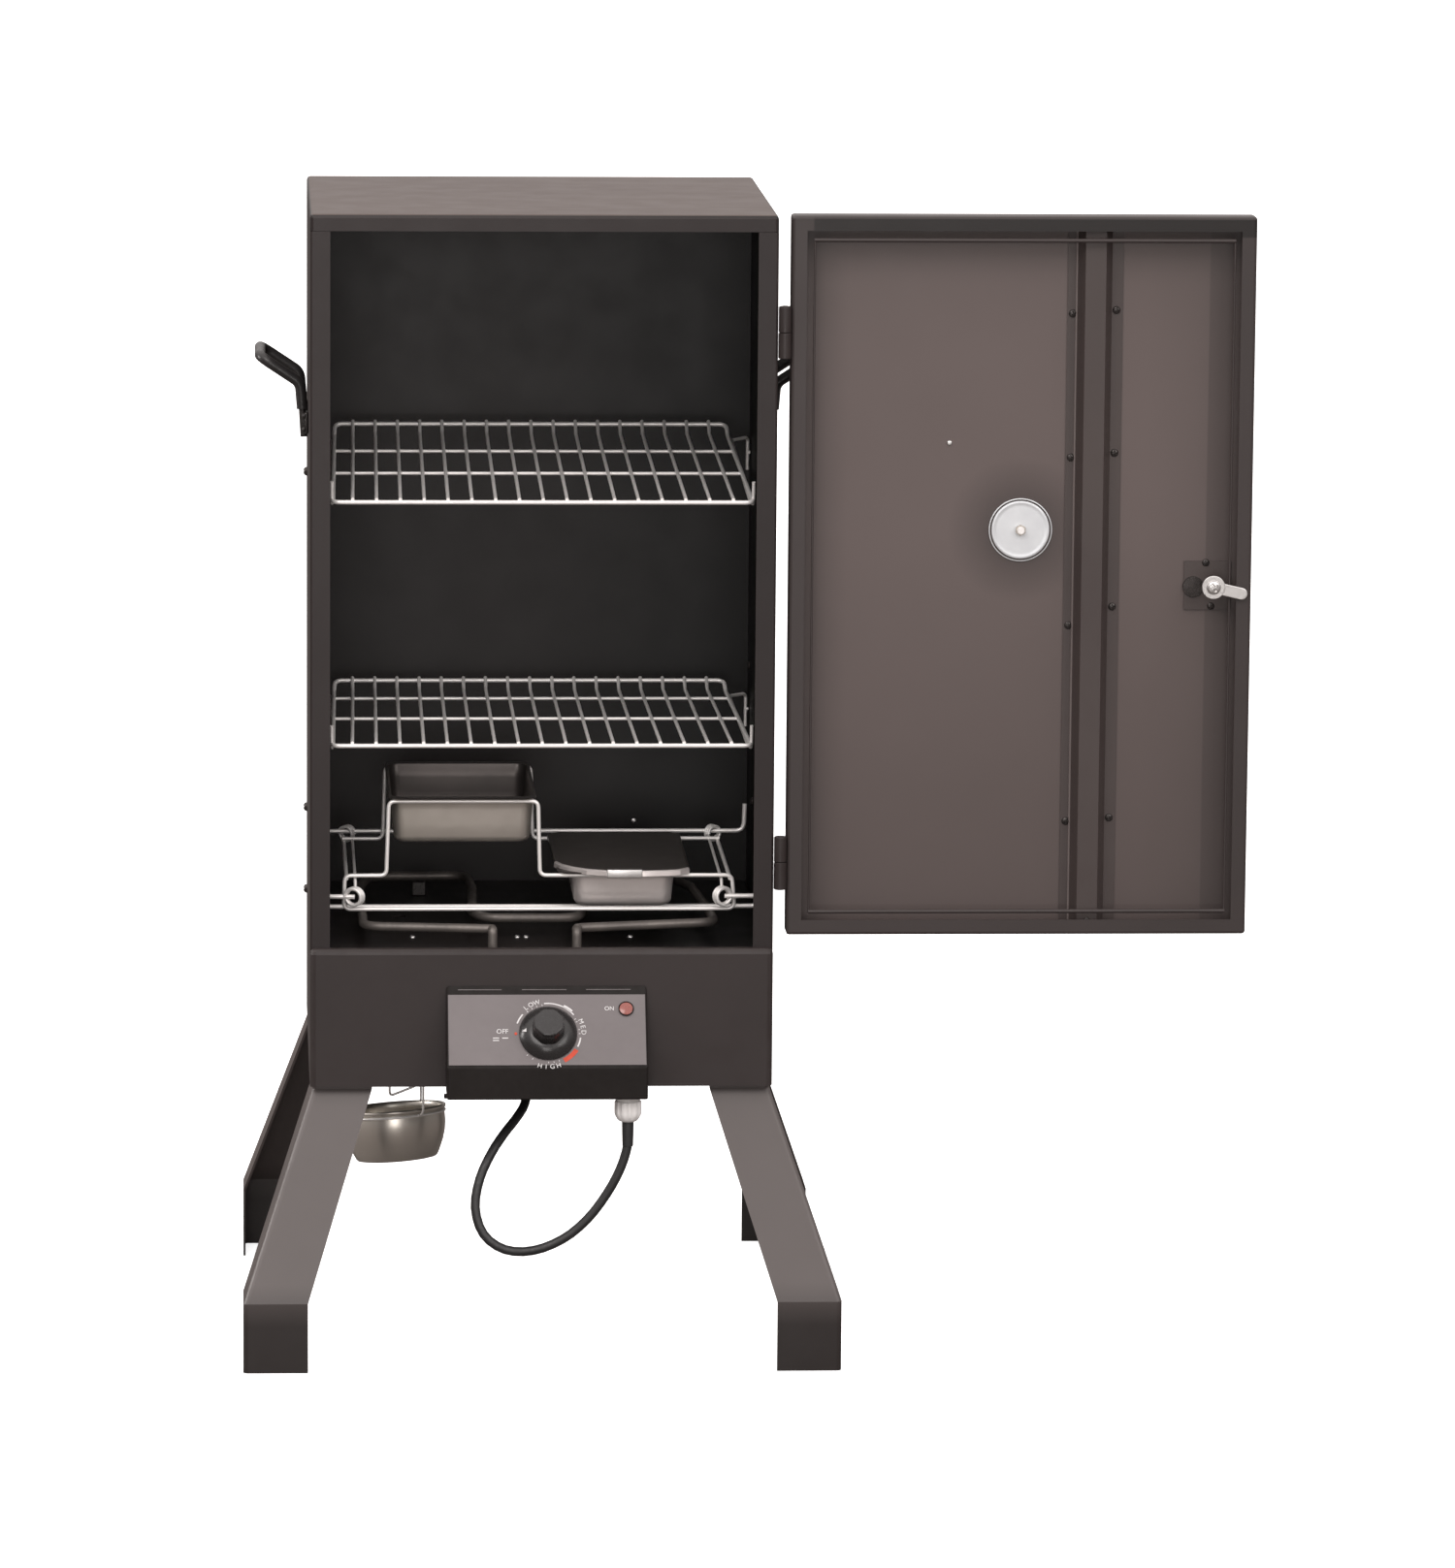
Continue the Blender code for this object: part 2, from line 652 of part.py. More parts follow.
def make_thermostat():
    hub = slope_hub("thermostat_axes", KNOB_X, KNOB_ALONG)
    body = put("thermostat_body", box_mesh("thermostat_body", (-0.017, -0.014, -0.0150), (0.017, 0.013, -0.0035)),
               "black_plastic", hub)
    bevel(body, 0.001, 1)
    axis = slope_hub("thermostat_knob_axis", KNOB_X, KNOB_ALONG)
    profile = [(0.0, 0.0100), (0.0150, 0.0100), (0.0215, 0.0062), (0.0245, 0.0024), (0.0245, 0.0014), (0.0036, 0.0014),
               (0.0036, -0.0030), (0.0, -0.0030)]
    knob = lathe("thermostat_knob", profile, "black_plastic", axis, 24)
    grip = helper("knob_grip", cylinder_mesh("knob_grip", 0.0135, 0.0080, 0.0260, 8), axis)
    boolean(knob, grip, "UNION")


def make_ready_lamp():
    hub = slope_hub("ready_lamp_axes", LAMP_X, LAMP_ALONG)
    lathe("ready_lamp_bezel", [(0.0052, 0.0030), (0.0062, 0.0030), (0.0070, 0.0022), (0.0070, 0.0012), (0.0052, 0.0012)],
          "black_plastic", hub, 16)
    lathe("ready_lamp_lens", [(0.0, 0.0052), (0.0028, 0.0046), (0.0044, 0.0030), (0.0044, -0.0080), (0.0, -0.0080)],
          "lamp_red", hub, 16)


def make_gland():
    hub = empty("gland_axes", ROOT, (GLAND_X, GLAND_Y, 0.0))
    bore = CORD_RADIUS + 0.0004
    profile = [(bore, 0.2400), (0.0074, 0.2400), (0.0074, 0.2291), (0.0115, 0.2291), (0.0115, 0.2255), (0.0090, 0.2245),
               (0.0090, 0.2215), (0.0112, 0.2205), (0.0112, 0.2130), (0.0085, 0.2078), (0.0064, 0.2065), (bore, 0.2065)]
    lathe("cable_gland", profile, "white_nylon", hub, 14)
    low = BOX_LOW + 0.0015 + GAP
    lathe("gland_nut", [(0.0078, low + 0.004), (0.0112, low + 0.004), (0.0112, low), (0.0078, low)], "white_nylon", hub, 12)
    lathe("cord_strain_relief", [(bore, 0.2060), (0.0064, 0.2060), (0.0058, 0.1850), (0.0050, 0.1850)], "cord_rubber", hub, 12)


# Mains lead

COIL_CENTRE = (-0.0293, 0.115, 0.280)
COIL_RADIUS = 0.045
COIL_HALF = 0.0137

# The lead's route from inside the gland: a hanging loop in front, then back and up under the floor to the coil.
LEAD = (
    (0.0725, -0.2150, 0.2440), (0.0725, -0.2150, 0.2060), (0.0725, -0.2150, 0.1868), (0.0665, -0.2150, 0.1660),
    (0.0550, -0.2150, 0.1440), (0.0385, -0.2150, 0.1220), (0.0180, -0.2148, 0.1050), (-0.0070, -0.2140, 0.0950),
    (-0.0310, -0.2120, 0.0955), (-0.0490, -0.2080, 0.1080), (-0.0560, -0.2030, 0.1300), (-0.0520, -0.1960, 0.1535),
    (-0.0420, -0.1860, 0.1735), (-0.0310, -0.1730, 0.1875), (-0.0200, -0.1550, 0.1975), (-0.0120, -0.1340, 0.2060),
    (-0.0095, -0.1110, 0.2180), (-0.0100, -0.0850, 0.2380), (-0.0122, -0.0580, 0.2620), (-0.0150, -0.0280, 0.2860),
    (-0.0175, 0.0050, 0.3050), (-0.0190, 0.0400, 0.3180), (-0.0198, 0.0790, 0.3243),
)


def smooth_route(points, spacing):
    """Even points on the Catmull-Rom curve through a route."""
    ends = [2 * Vector(points[0]) - Vector(points[1])] + [Vector(p) for p in points]
    ends.append(2 * Vector(points[-1]) - Vector(points[-2]))
    fine = []
    for a, b, c, d in zip(ends, ends[1:], ends[2:], ends[3:]):
        for step in range(24):
            t = step / 24
            fine.append(0.5 * ((2 * b) + (c - a) * t + (2 * a - 5 * b + 4 * c - d) * t * t
                               + (3 * b - a - 3 * c + d) * t * t * t))
    fine.append(Vector(points[-1]))
    total = sum((q - p).length for p, q in zip(fine, fine[1:]))
    count = max(2, round(total / spacing))
    out = [fine[0]]
    walked = 0.0
    for p, q in zip(fine, fine[1:]):
        step = (q - p).length
        while len(out) < count and walked + step >= total * len(out) / count:
            out.append(p.lerp(q, (total * len(out) / count - walked) / step))
        walked += step
    out.append(fine[-1])
    return [tuple(p) for p in out], total


def make_lead():
    route, total = smooth_route(LEAD, 0.019)
    rods("mains_lead", [route], CORD_RADIUS, "cord_rubber", ROOT, 8)
    hub = empty("coil_axes", ROOT, COIL_CENTRE)
    hub.rotation_euler = (0, math.radians(90), 0)
    inner = COIL_RADIUS - CORD_RADIUS - 0.001
    outer = COIL_RADIUS + CORD_RADIUS + 0.001
    cut = 0.003
    profile = [(inner, COIL_HALF - cut), (inner + cut, COIL_HALF), (outer - cut, COIL_HALF), (outer, COIL_HALF - cut),
               (outer, cut - COIL_HALF), (outer - cut, -COIL_HALF), (inner + cut, -COIL_HALF), (inner, cut - COIL_HALF)]
    lathe("mains_lead_coil", profile, "cord_rubber", hub, 24)
    x, y, z = COIL_CENTRE
    plug = put("mains_plug", box_mesh("mains_plug", (x - 0.0230, y + 0.034, z - 0.078), (x + 0.0040, y + 0.056, z - 0.0405)),
               "cord_rubber", ROOT)
    bevel(plug, 0.003, 2)


def make_cord_holders():
    """A hook under the floor that the coil hangs from, and a clip that holds the lead beside it."""
    x, y, z = COIL_CENTRE
    low = z + COIL_RADIUS - CORD_RADIUS - 0.0040
    top = FLOOR_TOP - SHEET - GAP
    bent = [(x - 0.021, y, top - 0.001), (x - 0.021, y, low), (x + 0.019, y, low), (x + 0.023, y, low + 0.010)]
    hook = rods("cord_hook", [fillet(bent, 0.005)], 0.0022, "plain_steel", ROOT)
    foot = helper("hook_foot", box_mesh("hook_foot", (x - 0.031, y - 0.008, top - 0.0015), (x - 0.011, y + 0.008, top)), ROOT)
    boolean(hook, foot, "UNION")
    clip = lathe("cord_clip", [(0.0043, 0.005), (0.0056, 0.005), (0.0056, -0.005), (0.0043, -0.005)], "plain_steel",
                 empty("clip_axes", ROOT, CLIP), 14)
    way = (Vector(LEAD[22]) - Vector(LEAD[20])).normalized()
    clip.parent.rotation_euler = way.to_track_quat("Z", "X").to_euler()
    strap = helper("clip_strap", box_mesh("clip_strap", (CLIP[0] - 0.004, CLIP[1] - 0.0012, CLIP[2] + 0.0048),
                                          (CLIP[0] + 0.004, CLIP[1] + 0.0012, FLOOR_TOP - SHEET - GAP)), ROOT)
    boolean(clip, strap, "UNION")


CLIP = LEAD[21]


# Door, drawn in the axes of its hinge with the door standing straight out to the right

DOOR = empty("door_hinge_axis", ROOT, (HINGE_X, HINGE_Y, 0))
RIM_Y = 0.0005
SKIN_Y = RIM_Y + DOOR_DEPTH
DOOR_X = (PIN_GAP, PIN_GAP + DOOR_WIDTH)


def make_door_panel():
    """A pan of folded sheet: skin outside, walls, and a rim turned in all round."""
    bm = bmesh.new()
    size = (DOOR_WIDTH, DOOR_DEPTH, HEIGHT - DOOR_LOW)
    middle = ((DOOR_X[0] + DOOR_X[1]) / 2, (RIM_Y + SKIN_Y) / 2, (HEIGHT + DOOR_LOW) / 2)
    bmesh.ops.create_cube(bm, size=1.0, matrix=Matrix.Translation(middle) @ Matrix.Diagonal((*size, 1.0)))
    bm.normal_update()
    face = [f for f in bm.faces if f.normal.y < -0.9]
    bmesh.ops.inset_region(bm, faces=face, thickness=DOOR_RIM)
    bmesh.ops.delete(bm, geom=face, context="FACES_ONLY")
    mesh = bpy.data.meshes.new("door_panel")
    bm.to_mesh(mesh)
    bm.free()
    obj = put("door_panel", mesh, "black_enamel", DOOR)
    bevel(obj, 0.0025)
    solidify(obj)
    for name, x, z, radius in (("thermometer_cut", DIAL_X, DIAL_Z, 0.0036), ("latch_cut", LATCH_X, LATCH_Z, 0.0052)):
        cut_round(obj, name, radius, SKIN_Y - 0.006, SKIN_Y + 0.006, "Y", (x, z))


DIAL_X = 0.4038 - HINGE_X
DIAL_Z = 0.7044
LATCH_X = 0.5655 - HINGE_X
LATCH_Z = 0.6590


def make_stiffener():
    """A hat-section strip inside the door, from bottom wall to top wall."""
    flat = SKIN_Y - SHEET - GAP - 0.001
    profile = [(0.4410, flat), (0.4490, flat), (0.4546, flat - 0.014), (0.4720, flat - 0.014), (0.4785, flat), (0.4880, flat)]
    low = [(x - HINGE_X, y, DOOR_LOW + 0.003) for x, y in profile]
    high = [(x - HINGE_X, y, HEIGHT - 0.003) for x, y in profile]
    loft("door_stiffener", [low, high], "black_enamel", DOOR, thick=0.001)


def make_hinge(word, low, middle, high):
    """Two leaves on one pin: the cabinet's leaf below carries the pin, the door's leaf sits above on it."""
    z0 = low + 0.001
    lower = put(word + "_hinge_cabinet_leaf", cylinder_mesh("leaf", 0.0050, z0, middle - GAP, 20), "black_enamel",
                empty(word + "_pin_axes", ROOT, (HINGE_X, HINGE_Y, 0)))
    pin = helper(word + "_pin", cylinder_mesh("pin", 0.0022, z0 + 0.002, high - 0.001, 12), lower.parent)
    boolean(lower, pin, "UNION")
    plate = helper(word + "_plate", box_mesh("plate", (-0.0052, -0.0002, z0 + 0.002), (-0.0010, 0.0020, middle - 0.002)),
                   lower.parent)
    boolean(lower, plate, "UNION")
    upper = put(word + "_hinge_door_leaf", cylinder_mesh("leaf", 0.0045, middle, high, 20), "black_enamel", DOOR)
    tab = helper(word + "_tab", box_mesh("tab", (0.0012, 0.0010, middle + 0.002), (0.0052, 0.0030, high - 0.002)), DOOR)
    boolean(upper, tab, "UNION")
    cut_round(upper, word + "_pin_cut", 0.0026, middle - 0.002, high + 0.002, "Z", (0.0, 0.0), 12)


def door_hub(name, x, z, turn=0.0):
    """Axes whose z points straight out of the door's outer skin."""
    hub = empty(name, DOOR, (x, SKIN_Y, z))
    hub.rotation_euler = (math.radians(-90), 0, 0)
    return hub


def make_thermometer():
    hub = door_hub("thermometer_axes", DIAL_X, DIAL_Z)
    case = [(0.0, 0.0060), (0.0235, 0.0060), (0.0235, 0.0130), (0.0262, 0.0130), (0.0270, 0.0118), (0.0270, GAP),
            (0.0032, GAP), (0.0032, -0.0090), (0.0, -0.0090)]
    lathe("thermometer_case", case, "plain_steel", hub, 24)
    lathe("thermometer_glass", [(0.0, 0.0124), (0.0231, 0.0124), (0.0231, 0.0112), (0.0, 0.0112)], "dial_glass", hub, 24)
    lathe("thermometer_back_disc", [(0.0036, -0.0016), (0.0240, -0.0016), (0.0245, -0.0022), (0.0240, -0.0030),
                                    (0.0036, -0.0030)], "plain_steel", hub, 24)
    axis = door_hub("thermometer_needle_axis", DIAL_X, DIAL_Z)
    needle = put("thermometer_needle", box_mesh("needle", (-0.0008, -0.0050, 0.0074), (0.0008, 0.0190, 0.0084)), "needle_red", axis)
    boss = helper("needle_boss", cylinder_mesh("needle_boss", 0.0022, 0.0066, 0.0092, 12), axis)
    boolean(needle, boss, "UNION")


def make_latch():
    """An outside twist handle on a shaft, with a tongue inside the door that hooks behind the cabinet's flange."""
    axis = door_hub("latch_axis", LATCH_X, LATCH_Z)
    knob = [(0.0, 0.0060), (0.0110, 0.0060), (0.0120, 0.0050), (0.0120, 0.0006), (0.0046, 0.0006), (0.0046, -0.0220),
            (0.0, -0.0220)]
    handle = lathe("latch_handle", knob, "black_plastic", axis, 24)
    wing = helper("latch_wing", box_mesh("latch_wing", (-0.0040, -0.0190, 0.0040), (0.0040, 0.0190, 0.0240)), axis)
    boolean(handle, wing, "UNION")
    cam = lathe("latch_cam", [(0.0, -0.0276), (0.0098, -0.0276), (0.0098, -0.0306), (0.0, -0.0306)], "plain_steel",
                axis, 24)
    tongue = helper("cam_tongue", rounded_tongue(), axis)
    boolean(cam, tongue, "UNION")
    hub = door_hub("latch_plate_axes", LATCH_X, LATCH_Z)
    plate = put("latch_plate", box_mesh("latch_plate", (0.5434 - 0.5655, -0.0190, -0.0030), (0.583 - 0.5655, 0.0224, -0.0016)),
                "black_enamel", hub)
    cut_round(plate, "latch_plate_cut", 0.0052, -0.006, 0.002, "Z", (0.0, 0.0))


def rounded_tongue():
    """The cam's tongue: a flat strip with a round end, 13 degrees below level."""
    bm = bmesh.new()
    outline = [(0.0, -0.0052), (0.0240, -0.0052)]
    for step in range(7):
        angle = math.radians(-75 + 25 * step)
        outline.append((0.0244 + 0.0052 * math.cos(angle), 0.0052 * math.sin(angle)))
    outline += [(0.0240, 0.0052), (0.0, 0.0052)]
    turn = Matrix.Rotation(math.radians(13), 4, "Z")
    low = [bm.verts.new(turn @ Vector((x, y, -0.0303))) for x, y in outline]
    face = bm.faces.new(low)
    grown = bmesh.ops.extrude_face_region(bm, geom=[face])
    moved = [item for item in grown["geom"] if isinstance(item, bmesh.types.BMVert)]
    bmesh.ops.translate(bm, verts=moved, vec=(0, 0, 0.0024))
    return mesh_from(bm, "tongue")


def make_badge():
    hub = door_hub("badge_axes", 0.4025 - HINGE_X, 0.7780)
    obj = put("badge_plate", box_mesh("badge_plate", (-0.0670, -0.0130, GAP), (0.0670, 0.0130, 0.0013)), "plain_steel", hub)
    bevel(obj, 0.0005, 1)


make_top_panel()
make_side_panel("left_side_panel", -1)
make_side_panel("right_side_panel", 1)
make_back_panel()
make_floor_pan()
make_front_apron()
make_leg("leg_front_left", -1, -1)
make_leg("leg_front_right", 1, -1)
make_leg("leg_rear_left", -1, 1)
make_leg("leg_rear_right", 1, 1)
make_handle(-1, "left")
make_handle(1, "right")
make_rack("upper_rack", (0, RACK_FRONT, 0.729), RACK_TILT, (0.131, 0.234))
make_rack("lower_rack", (0, RACK_FRONT, 0.522), 0.0, (0.151, 0.268))
for level, height, tilt in (("upper", 0.729, RACK_TILT), ("lower", 0.522, 0.0)):
    make_hanger(level + "_rack_hanger_left", -1, (0, RACK_FRONT, height), tilt)
    make_hanger(level + "_rack_hanger_right", 1, (0, RACK_FRONT, height), tilt)
make_pan_frame()
make_support_rods()
make_water_pan()
make_chip_tray()
make_chip_lid()
make_element()
make_drip_cup()
make_cup_hanger()
make_control_box()
make_label_plate()
make_thermostat()
make_ready_lamp()
make_gland()
make_lead()
make_cord_holders()
make_door_panel()
make_stiffener()
make_hinge("lower", 0.3995, 0.4240, 0.4460)
make_hinge("upper", 0.8510, 0.8740, 0.8960)
make_thermometer()
make_latch()
make_badge()
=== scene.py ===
"""Looks of the electric cabinet smoker: materials, fine pieces, floor, light and camera."""
from math import atan2, cos, pi, radians, sin, sqrt, tan

import bmesh
import bpy
from mathutils import Matrix, Vector


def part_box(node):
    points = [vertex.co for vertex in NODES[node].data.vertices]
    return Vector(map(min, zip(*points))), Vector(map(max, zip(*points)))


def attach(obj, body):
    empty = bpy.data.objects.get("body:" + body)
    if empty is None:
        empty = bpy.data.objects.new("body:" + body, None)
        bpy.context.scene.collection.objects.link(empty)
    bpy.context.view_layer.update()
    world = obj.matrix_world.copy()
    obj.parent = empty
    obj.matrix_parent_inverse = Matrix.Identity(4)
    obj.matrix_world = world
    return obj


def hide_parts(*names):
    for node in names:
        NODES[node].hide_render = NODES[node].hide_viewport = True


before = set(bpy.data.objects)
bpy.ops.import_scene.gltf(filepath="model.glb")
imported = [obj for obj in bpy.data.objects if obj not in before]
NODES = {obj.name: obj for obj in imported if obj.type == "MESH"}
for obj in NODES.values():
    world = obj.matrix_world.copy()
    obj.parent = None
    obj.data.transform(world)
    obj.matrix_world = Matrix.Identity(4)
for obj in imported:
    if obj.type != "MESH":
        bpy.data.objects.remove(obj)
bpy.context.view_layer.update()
SCENE = bpy.context.scene


def middle(node):
    low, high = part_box(node)
    return (low + high) / 2


# The cabinet's middle in the model's axes: every local x below is measured from it.
CX = middle("back_panel").x
HALF_W = (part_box("back_panel")[1].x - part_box("back_panel")[0].x) / 2
HALF_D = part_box("back_panel")[1].y
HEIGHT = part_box("top_panel")[1].z
HINGE = Vector((0.2015, -0.1855, 0.0))
SKIN_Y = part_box("door_panel")[1].y
RIM_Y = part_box("door_panel")[0].y
SHEET = 0.0012


def here(x, y, z):
    return Vector((x + CX, y, z))


def mm(*rows):
    """Rows of lengths written in millimetres."""
    return [tuple(value / 1000 for value in row) for row in rows]


def shift(x, y, z):
    return Matrix.Translation((x, y, z))


def about(axis, degrees):
    return Matrix.Rotation(radians(degrees), 4, axis)


# Camera

def make_camera():
    yaw, pitch, roll = -0.0579, 0.1592, 0.0081
    ahead = Vector((-sin(yaw) * cos(pitch), cos(yaw) * cos(pitch), -sin(pitch)))
    level = Vector((cos(yaw), sin(yaw), 0))
    over = level.cross(ahead)
    right = cos(roll) * level + sin(roll) * over
    up = cos(roll) * over - sin(roll) * level
    data = bpy.data.cameras.new("camera")
    data.lens = 192.85
    data.sensor_width = 36.0
    data.clip_end = 60
    camera = bpy.data.objects.new("camera", data)
    SCENE.collection.objects.link(camera)
    turn = Matrix((right, up, -ahead)).transposed().to_4x4()
    camera.matrix_world = shift(*here(-0.2491, -7.1798, 1.6157)) @ turn
    SCENE.camera = camera


make_camera()


# Materials

def shader_of(name):
    made = bpy.data.materials.new(name)
    made.use_nodes = True
    tree = made.node_tree
    return made, tree, tree.nodes["Principled BSDF"], linked(tree, "TexCoord").outputs["Object"]


def put(node, **values):
    """Fill inputs by name, with underscores for the spaces."""
    for name, value in values.items():
        node.inputs[name.replace("_", " ")].default_value = value


def linked(tree, kind, *sources, **values):
    """A new node whose first inputs are fed by sources."""
    node = tree.nodes.new("ShaderNode" + kind)
    for socket, source in zip(node.inputs, sources):
        tree.links.new(source, socket)
    put(node, **values)
    return node


def noise_of(tree, coords, scale, detail=4.0):
    return linked(tree, "TexNoise", coords, Scale=scale, Detail=detail).outputs["Fac"]


def remap(tree, value, low, high, start=0.35, end=0.65):
    return linked(tree, "MapRange", value, From_Min=start, From_Max=end, To_Min=low,
        To_Max=high).outputs["Result"]


def blend_colour(tree, factor, first, second):
    node = tree.nodes.new("ShaderNodeMix")
    node.data_type = "RGBA"
    tree.links.new(factor, node.inputs["Factor"])
    for socket, value in ((node.inputs["A"], first), (node.inputs["B"], second)):
        if isinstance(value, tuple):
            socket.default_value = (*value, 1.0)
        else:
            tree.links.new(value, socket)
    return node.outputs["Result"]


def product(tree, values):
    amount = values[0]
    for other in values[1:]:
        times = linked(tree, "Math", amount, other)
        times.operation = "MULTIPLY"
        amount = times.outputs[0]
    return amount


def coat(tree, shader, place, colour, low, high, spread=30.0, grain=(1100.0, 0.08)):
    """Colour, changing roughness and a fine bump."""
    tree.links.new(colour, shader.inputs["Base Color"])
    tree.links.new(remap(tree, noise_of(tree, place, spread, 6.0), low, high), shader.inputs["Roughness"])
    bump = linked(tree, "Bump", Strength=grain[1], Distance=0.0002)
    tree.links.new(noise_of(tree, place, grain[0], 3.0), bump.inputs["Height"])
    tree.links.new(bump.outputs["Normal"], shader.inputs["Normal"])


def finish(name, rgb, second, rough, metal=0.0, cloud=6.0, grain=(700.0, 0.02), rough_span=0.08, clear=0.0,
        specular=0.5):
    """A plain surface whose colour drifts slowly between two values."""
    made, tree, shader, place = shader_of(name)
    colour = blend_colour(tree, remap(tree, noise_of(tree, place, cloud, 5.0), 0.0, 1.0), rgb, second)
    coat(tree, shader, place, colour, rough - rough_span, rough + rough_span, cloud * 9.0, grain)
    put(shader, Metallic=metal, Coat_Weight=clear, Specular_IOR_Level=specular)
    return made


def surface(name, scale):
    """A material with the object's own axes and a slow drift for its colours."""
    made, tree, shader, place = shader_of(name)
    slow = remap(tree, noise_of(tree, place, scale, 5.0), 0.0, 1.0)
    return made, tree, shader, place, slow, linked(tree, "SeparateXYZ", place).outputs


def leg_material():
    """The legs' paint is the cabinet's, with painted light making it a little lighter on the upward-tilted
    slopes and darker towards the feet.
    """
    made, tree, shader, place, slow, axes = surface("leg_enamel", 5.0)
    # Painted light: the upper slopes get a lighter copy of the paint than the vertical feet.
    lit_slope_paint = blend_colour(tree, slow, (0.08, 0.067, 0.064), (0.09, 0.075, 0.072))
    foot_paint = blend_colour(tree, slow, (0.02, 0.016, 0.015), (0.026, 0.021, 0.02))
    up = remap(tree, axes["Z"], 0.0, 1.0, 0.04, 0.075)
    coat(tree, shader, place, blend_colour(tree, up, foot_paint, lit_slope_paint), 0.34, 0.4)
    return made


ENAMEL = finish("satin_enamel", (0.027, 0.0205, 0.0198), (0.032, 0.0245, 0.0238), 0.42, grain=(1100.0, 0.1),
    specular=0.4)
LEG_PAINT = leg_material()
CHROME = finish("bright_chrome", (0.95, 0.93, 0.91), (0.9, 0.88, 0.86), 0.34, 0.35, cloud=40.0,
    grain=(1500.0, 0.01), rough_span=0.03)
PRESSED = {"grain": (160.0, 0.02), "rough_span": 0.03}
STEEL = finish("pressed_steel", (0.54, 0.5, 0.455), (0.47, 0.44, 0.395), 0.34, 0.75, 14.0, **PRESSED)
# Painted light: a lighter copy of the pressed steel for the chip tray and the lid's edge.
TRAY_STEEL_PAINTED_LIGHT = finish("tray_steel_painted_light", (0.9, 0.84, 0.82), (0.82, 0.77, 0.75), 0.34, 0.65, 14.0, **PRESSED)
# Painted shade: a darker copy of the pressed steel for the pans' inner faces.
STEEL_PAINTED_SHADE = finish("pressed_steel_painted_shade", (0.085, 0.074, 0.07), (0.06, 0.053, 0.05), 0.34, 0.7, 16.0,
    **PRESSED)
SPUN = finish("spun_steel", (0.7, 0.66, 0.6), (0.64, 0.6, 0.545), 0.32, 0.85, cloud=8.0,
    grain=(60.0, 0.004), rough_span=0.015)
ZINC = finish("zinc_plate", (0.74, 0.73, 0.72), (0.66, 0.65, 0.64), 0.4, 1.0, cloud=60.0,
    grain=(800.0, 0.03))
DISC = finish("dial_disc", (0.72, 0.745, 0.765), (0.67, 0.69, 0.715), 0.42, 0.35, cloud=60.0,
    grain=(900.0, 0.02), rough_span=0.03)
BLACK_STEEL = finish("blackened_steel", (0.026, 0.023, 0.022), (0.042, 0.038, 0.036), 0.34, 0.4, cloud=80.0,
    grain=(1200.0, 0.1))
ELEMENT = finish("element_sheath", (0.12, 0.108, 0.1), (0.17, 0.152, 0.14), 0.46, 0.5, cloud=35.0,
    grain=(1200.0, 0.1))
LID = finish("lid_enamel", (0.038, 0.032, 0.029), (0.042, 0.0355, 0.0325), 0.3, cloud=6.0,
    grain=(1500.0, 0.004), rough_span=0.012, clear=0.2)
PLASTIC = finish("moulded_black", (0.019, 0.0175, 0.0175), (0.024, 0.0225, 0.0225), 0.26, cloud=30.0,
    grain=(1800.0, 0.03), rough_span=0.04)
HOUSING = finish("housing_black", (0.009, 0.0066, 0.0058), (0.0115, 0.0086, 0.0078), 0.5, cloud=20.0,
    grain=(1600.0, 0.1), specular=0.2)
FACE = finish("printed_face", (0.15, 0.132, 0.134), (0.164, 0.145, 0.147), 0.45, cloud=20.0,
    grain=(1600.0, 0.04))
SLEEVE = finish("handle_sleeve", (0.015, 0.014, 0.014), (0.022, 0.02, 0.02), 0.36, cloud=60.0,
    grain=(1500.0, 0.15))
RUBBER = finish("lead_jacket", (0.018, 0.018, 0.019), (0.026, 0.026, 0.027), 0.46, cloud=50.0,
    grain=(1800.0, 0.1))
NYLON = finish("white_nylon_gland", (0.9, 0.88, 0.87), (0.84, 0.82, 0.81), 0.38, cloud=60.0,
    grain=(1200.0, 0.04))
INK = finish("white_ink", (0.76, 0.75, 0.75), (0.68, 0.67, 0.67), 0.6, cloud=200.0, grain=(2500.0, 0.05))
RED_INK = finish("red_ink", (0.62, 0.07, 0.03), (0.52, 0.05, 0.02), 0.6, cloud=200.0, grain=(2500.0, 0.05))
DIAL = finish("dial_face", (0.78, 0.77, 0.75), (0.72, 0.71, 0.69), 0.55, cloud=60.0, grain=(2000.0, 0.03))
NEEDLE = finish("needle_paint", (0.6, 0.03, 0.02), (0.52, 0.02, 0.02), 0.4, cloud=200.0)
SCREW = finish("blackened_screw", (0.045, 0.04, 0.038), (0.07, 0.062, 0.06), 0.26, 0.6, cloud=250.0,
    grain=(2500.0, 0.1))


def lens_material():
    made, tree, shader, place = shader_of("lamp_lens")
    colour = blend_colour(tree, remap(tree, noise_of(tree, place, 500.0), 0.0, 1.0), (0.25, 0.058, 0.042),
        (0.3, 0.075, 0.056))
    tree.links.new(colour, shader.inputs["Base Color"])
    tree.links.new(remap(tree, noise_of(tree, place, 900.0), 0.22, 0.3), shader.inputs["Roughness"])
    put(shader, Coat_Weight=0.6)
    return made


def glass_material():
    made, tree, shader, place = shader_of("dial_window")
    put(shader, Base_Color=(0.93, 0.95, 0.95, 1), Transmission_Weight=1.0, IOR=1.45)
    tree.links.new(remap(tree, noise_of(tree, place, 300.0), 0.01, 0.04), shader.inputs["Roughness"])
    return made


LENS = lens_material()
GLASS = glass_material()


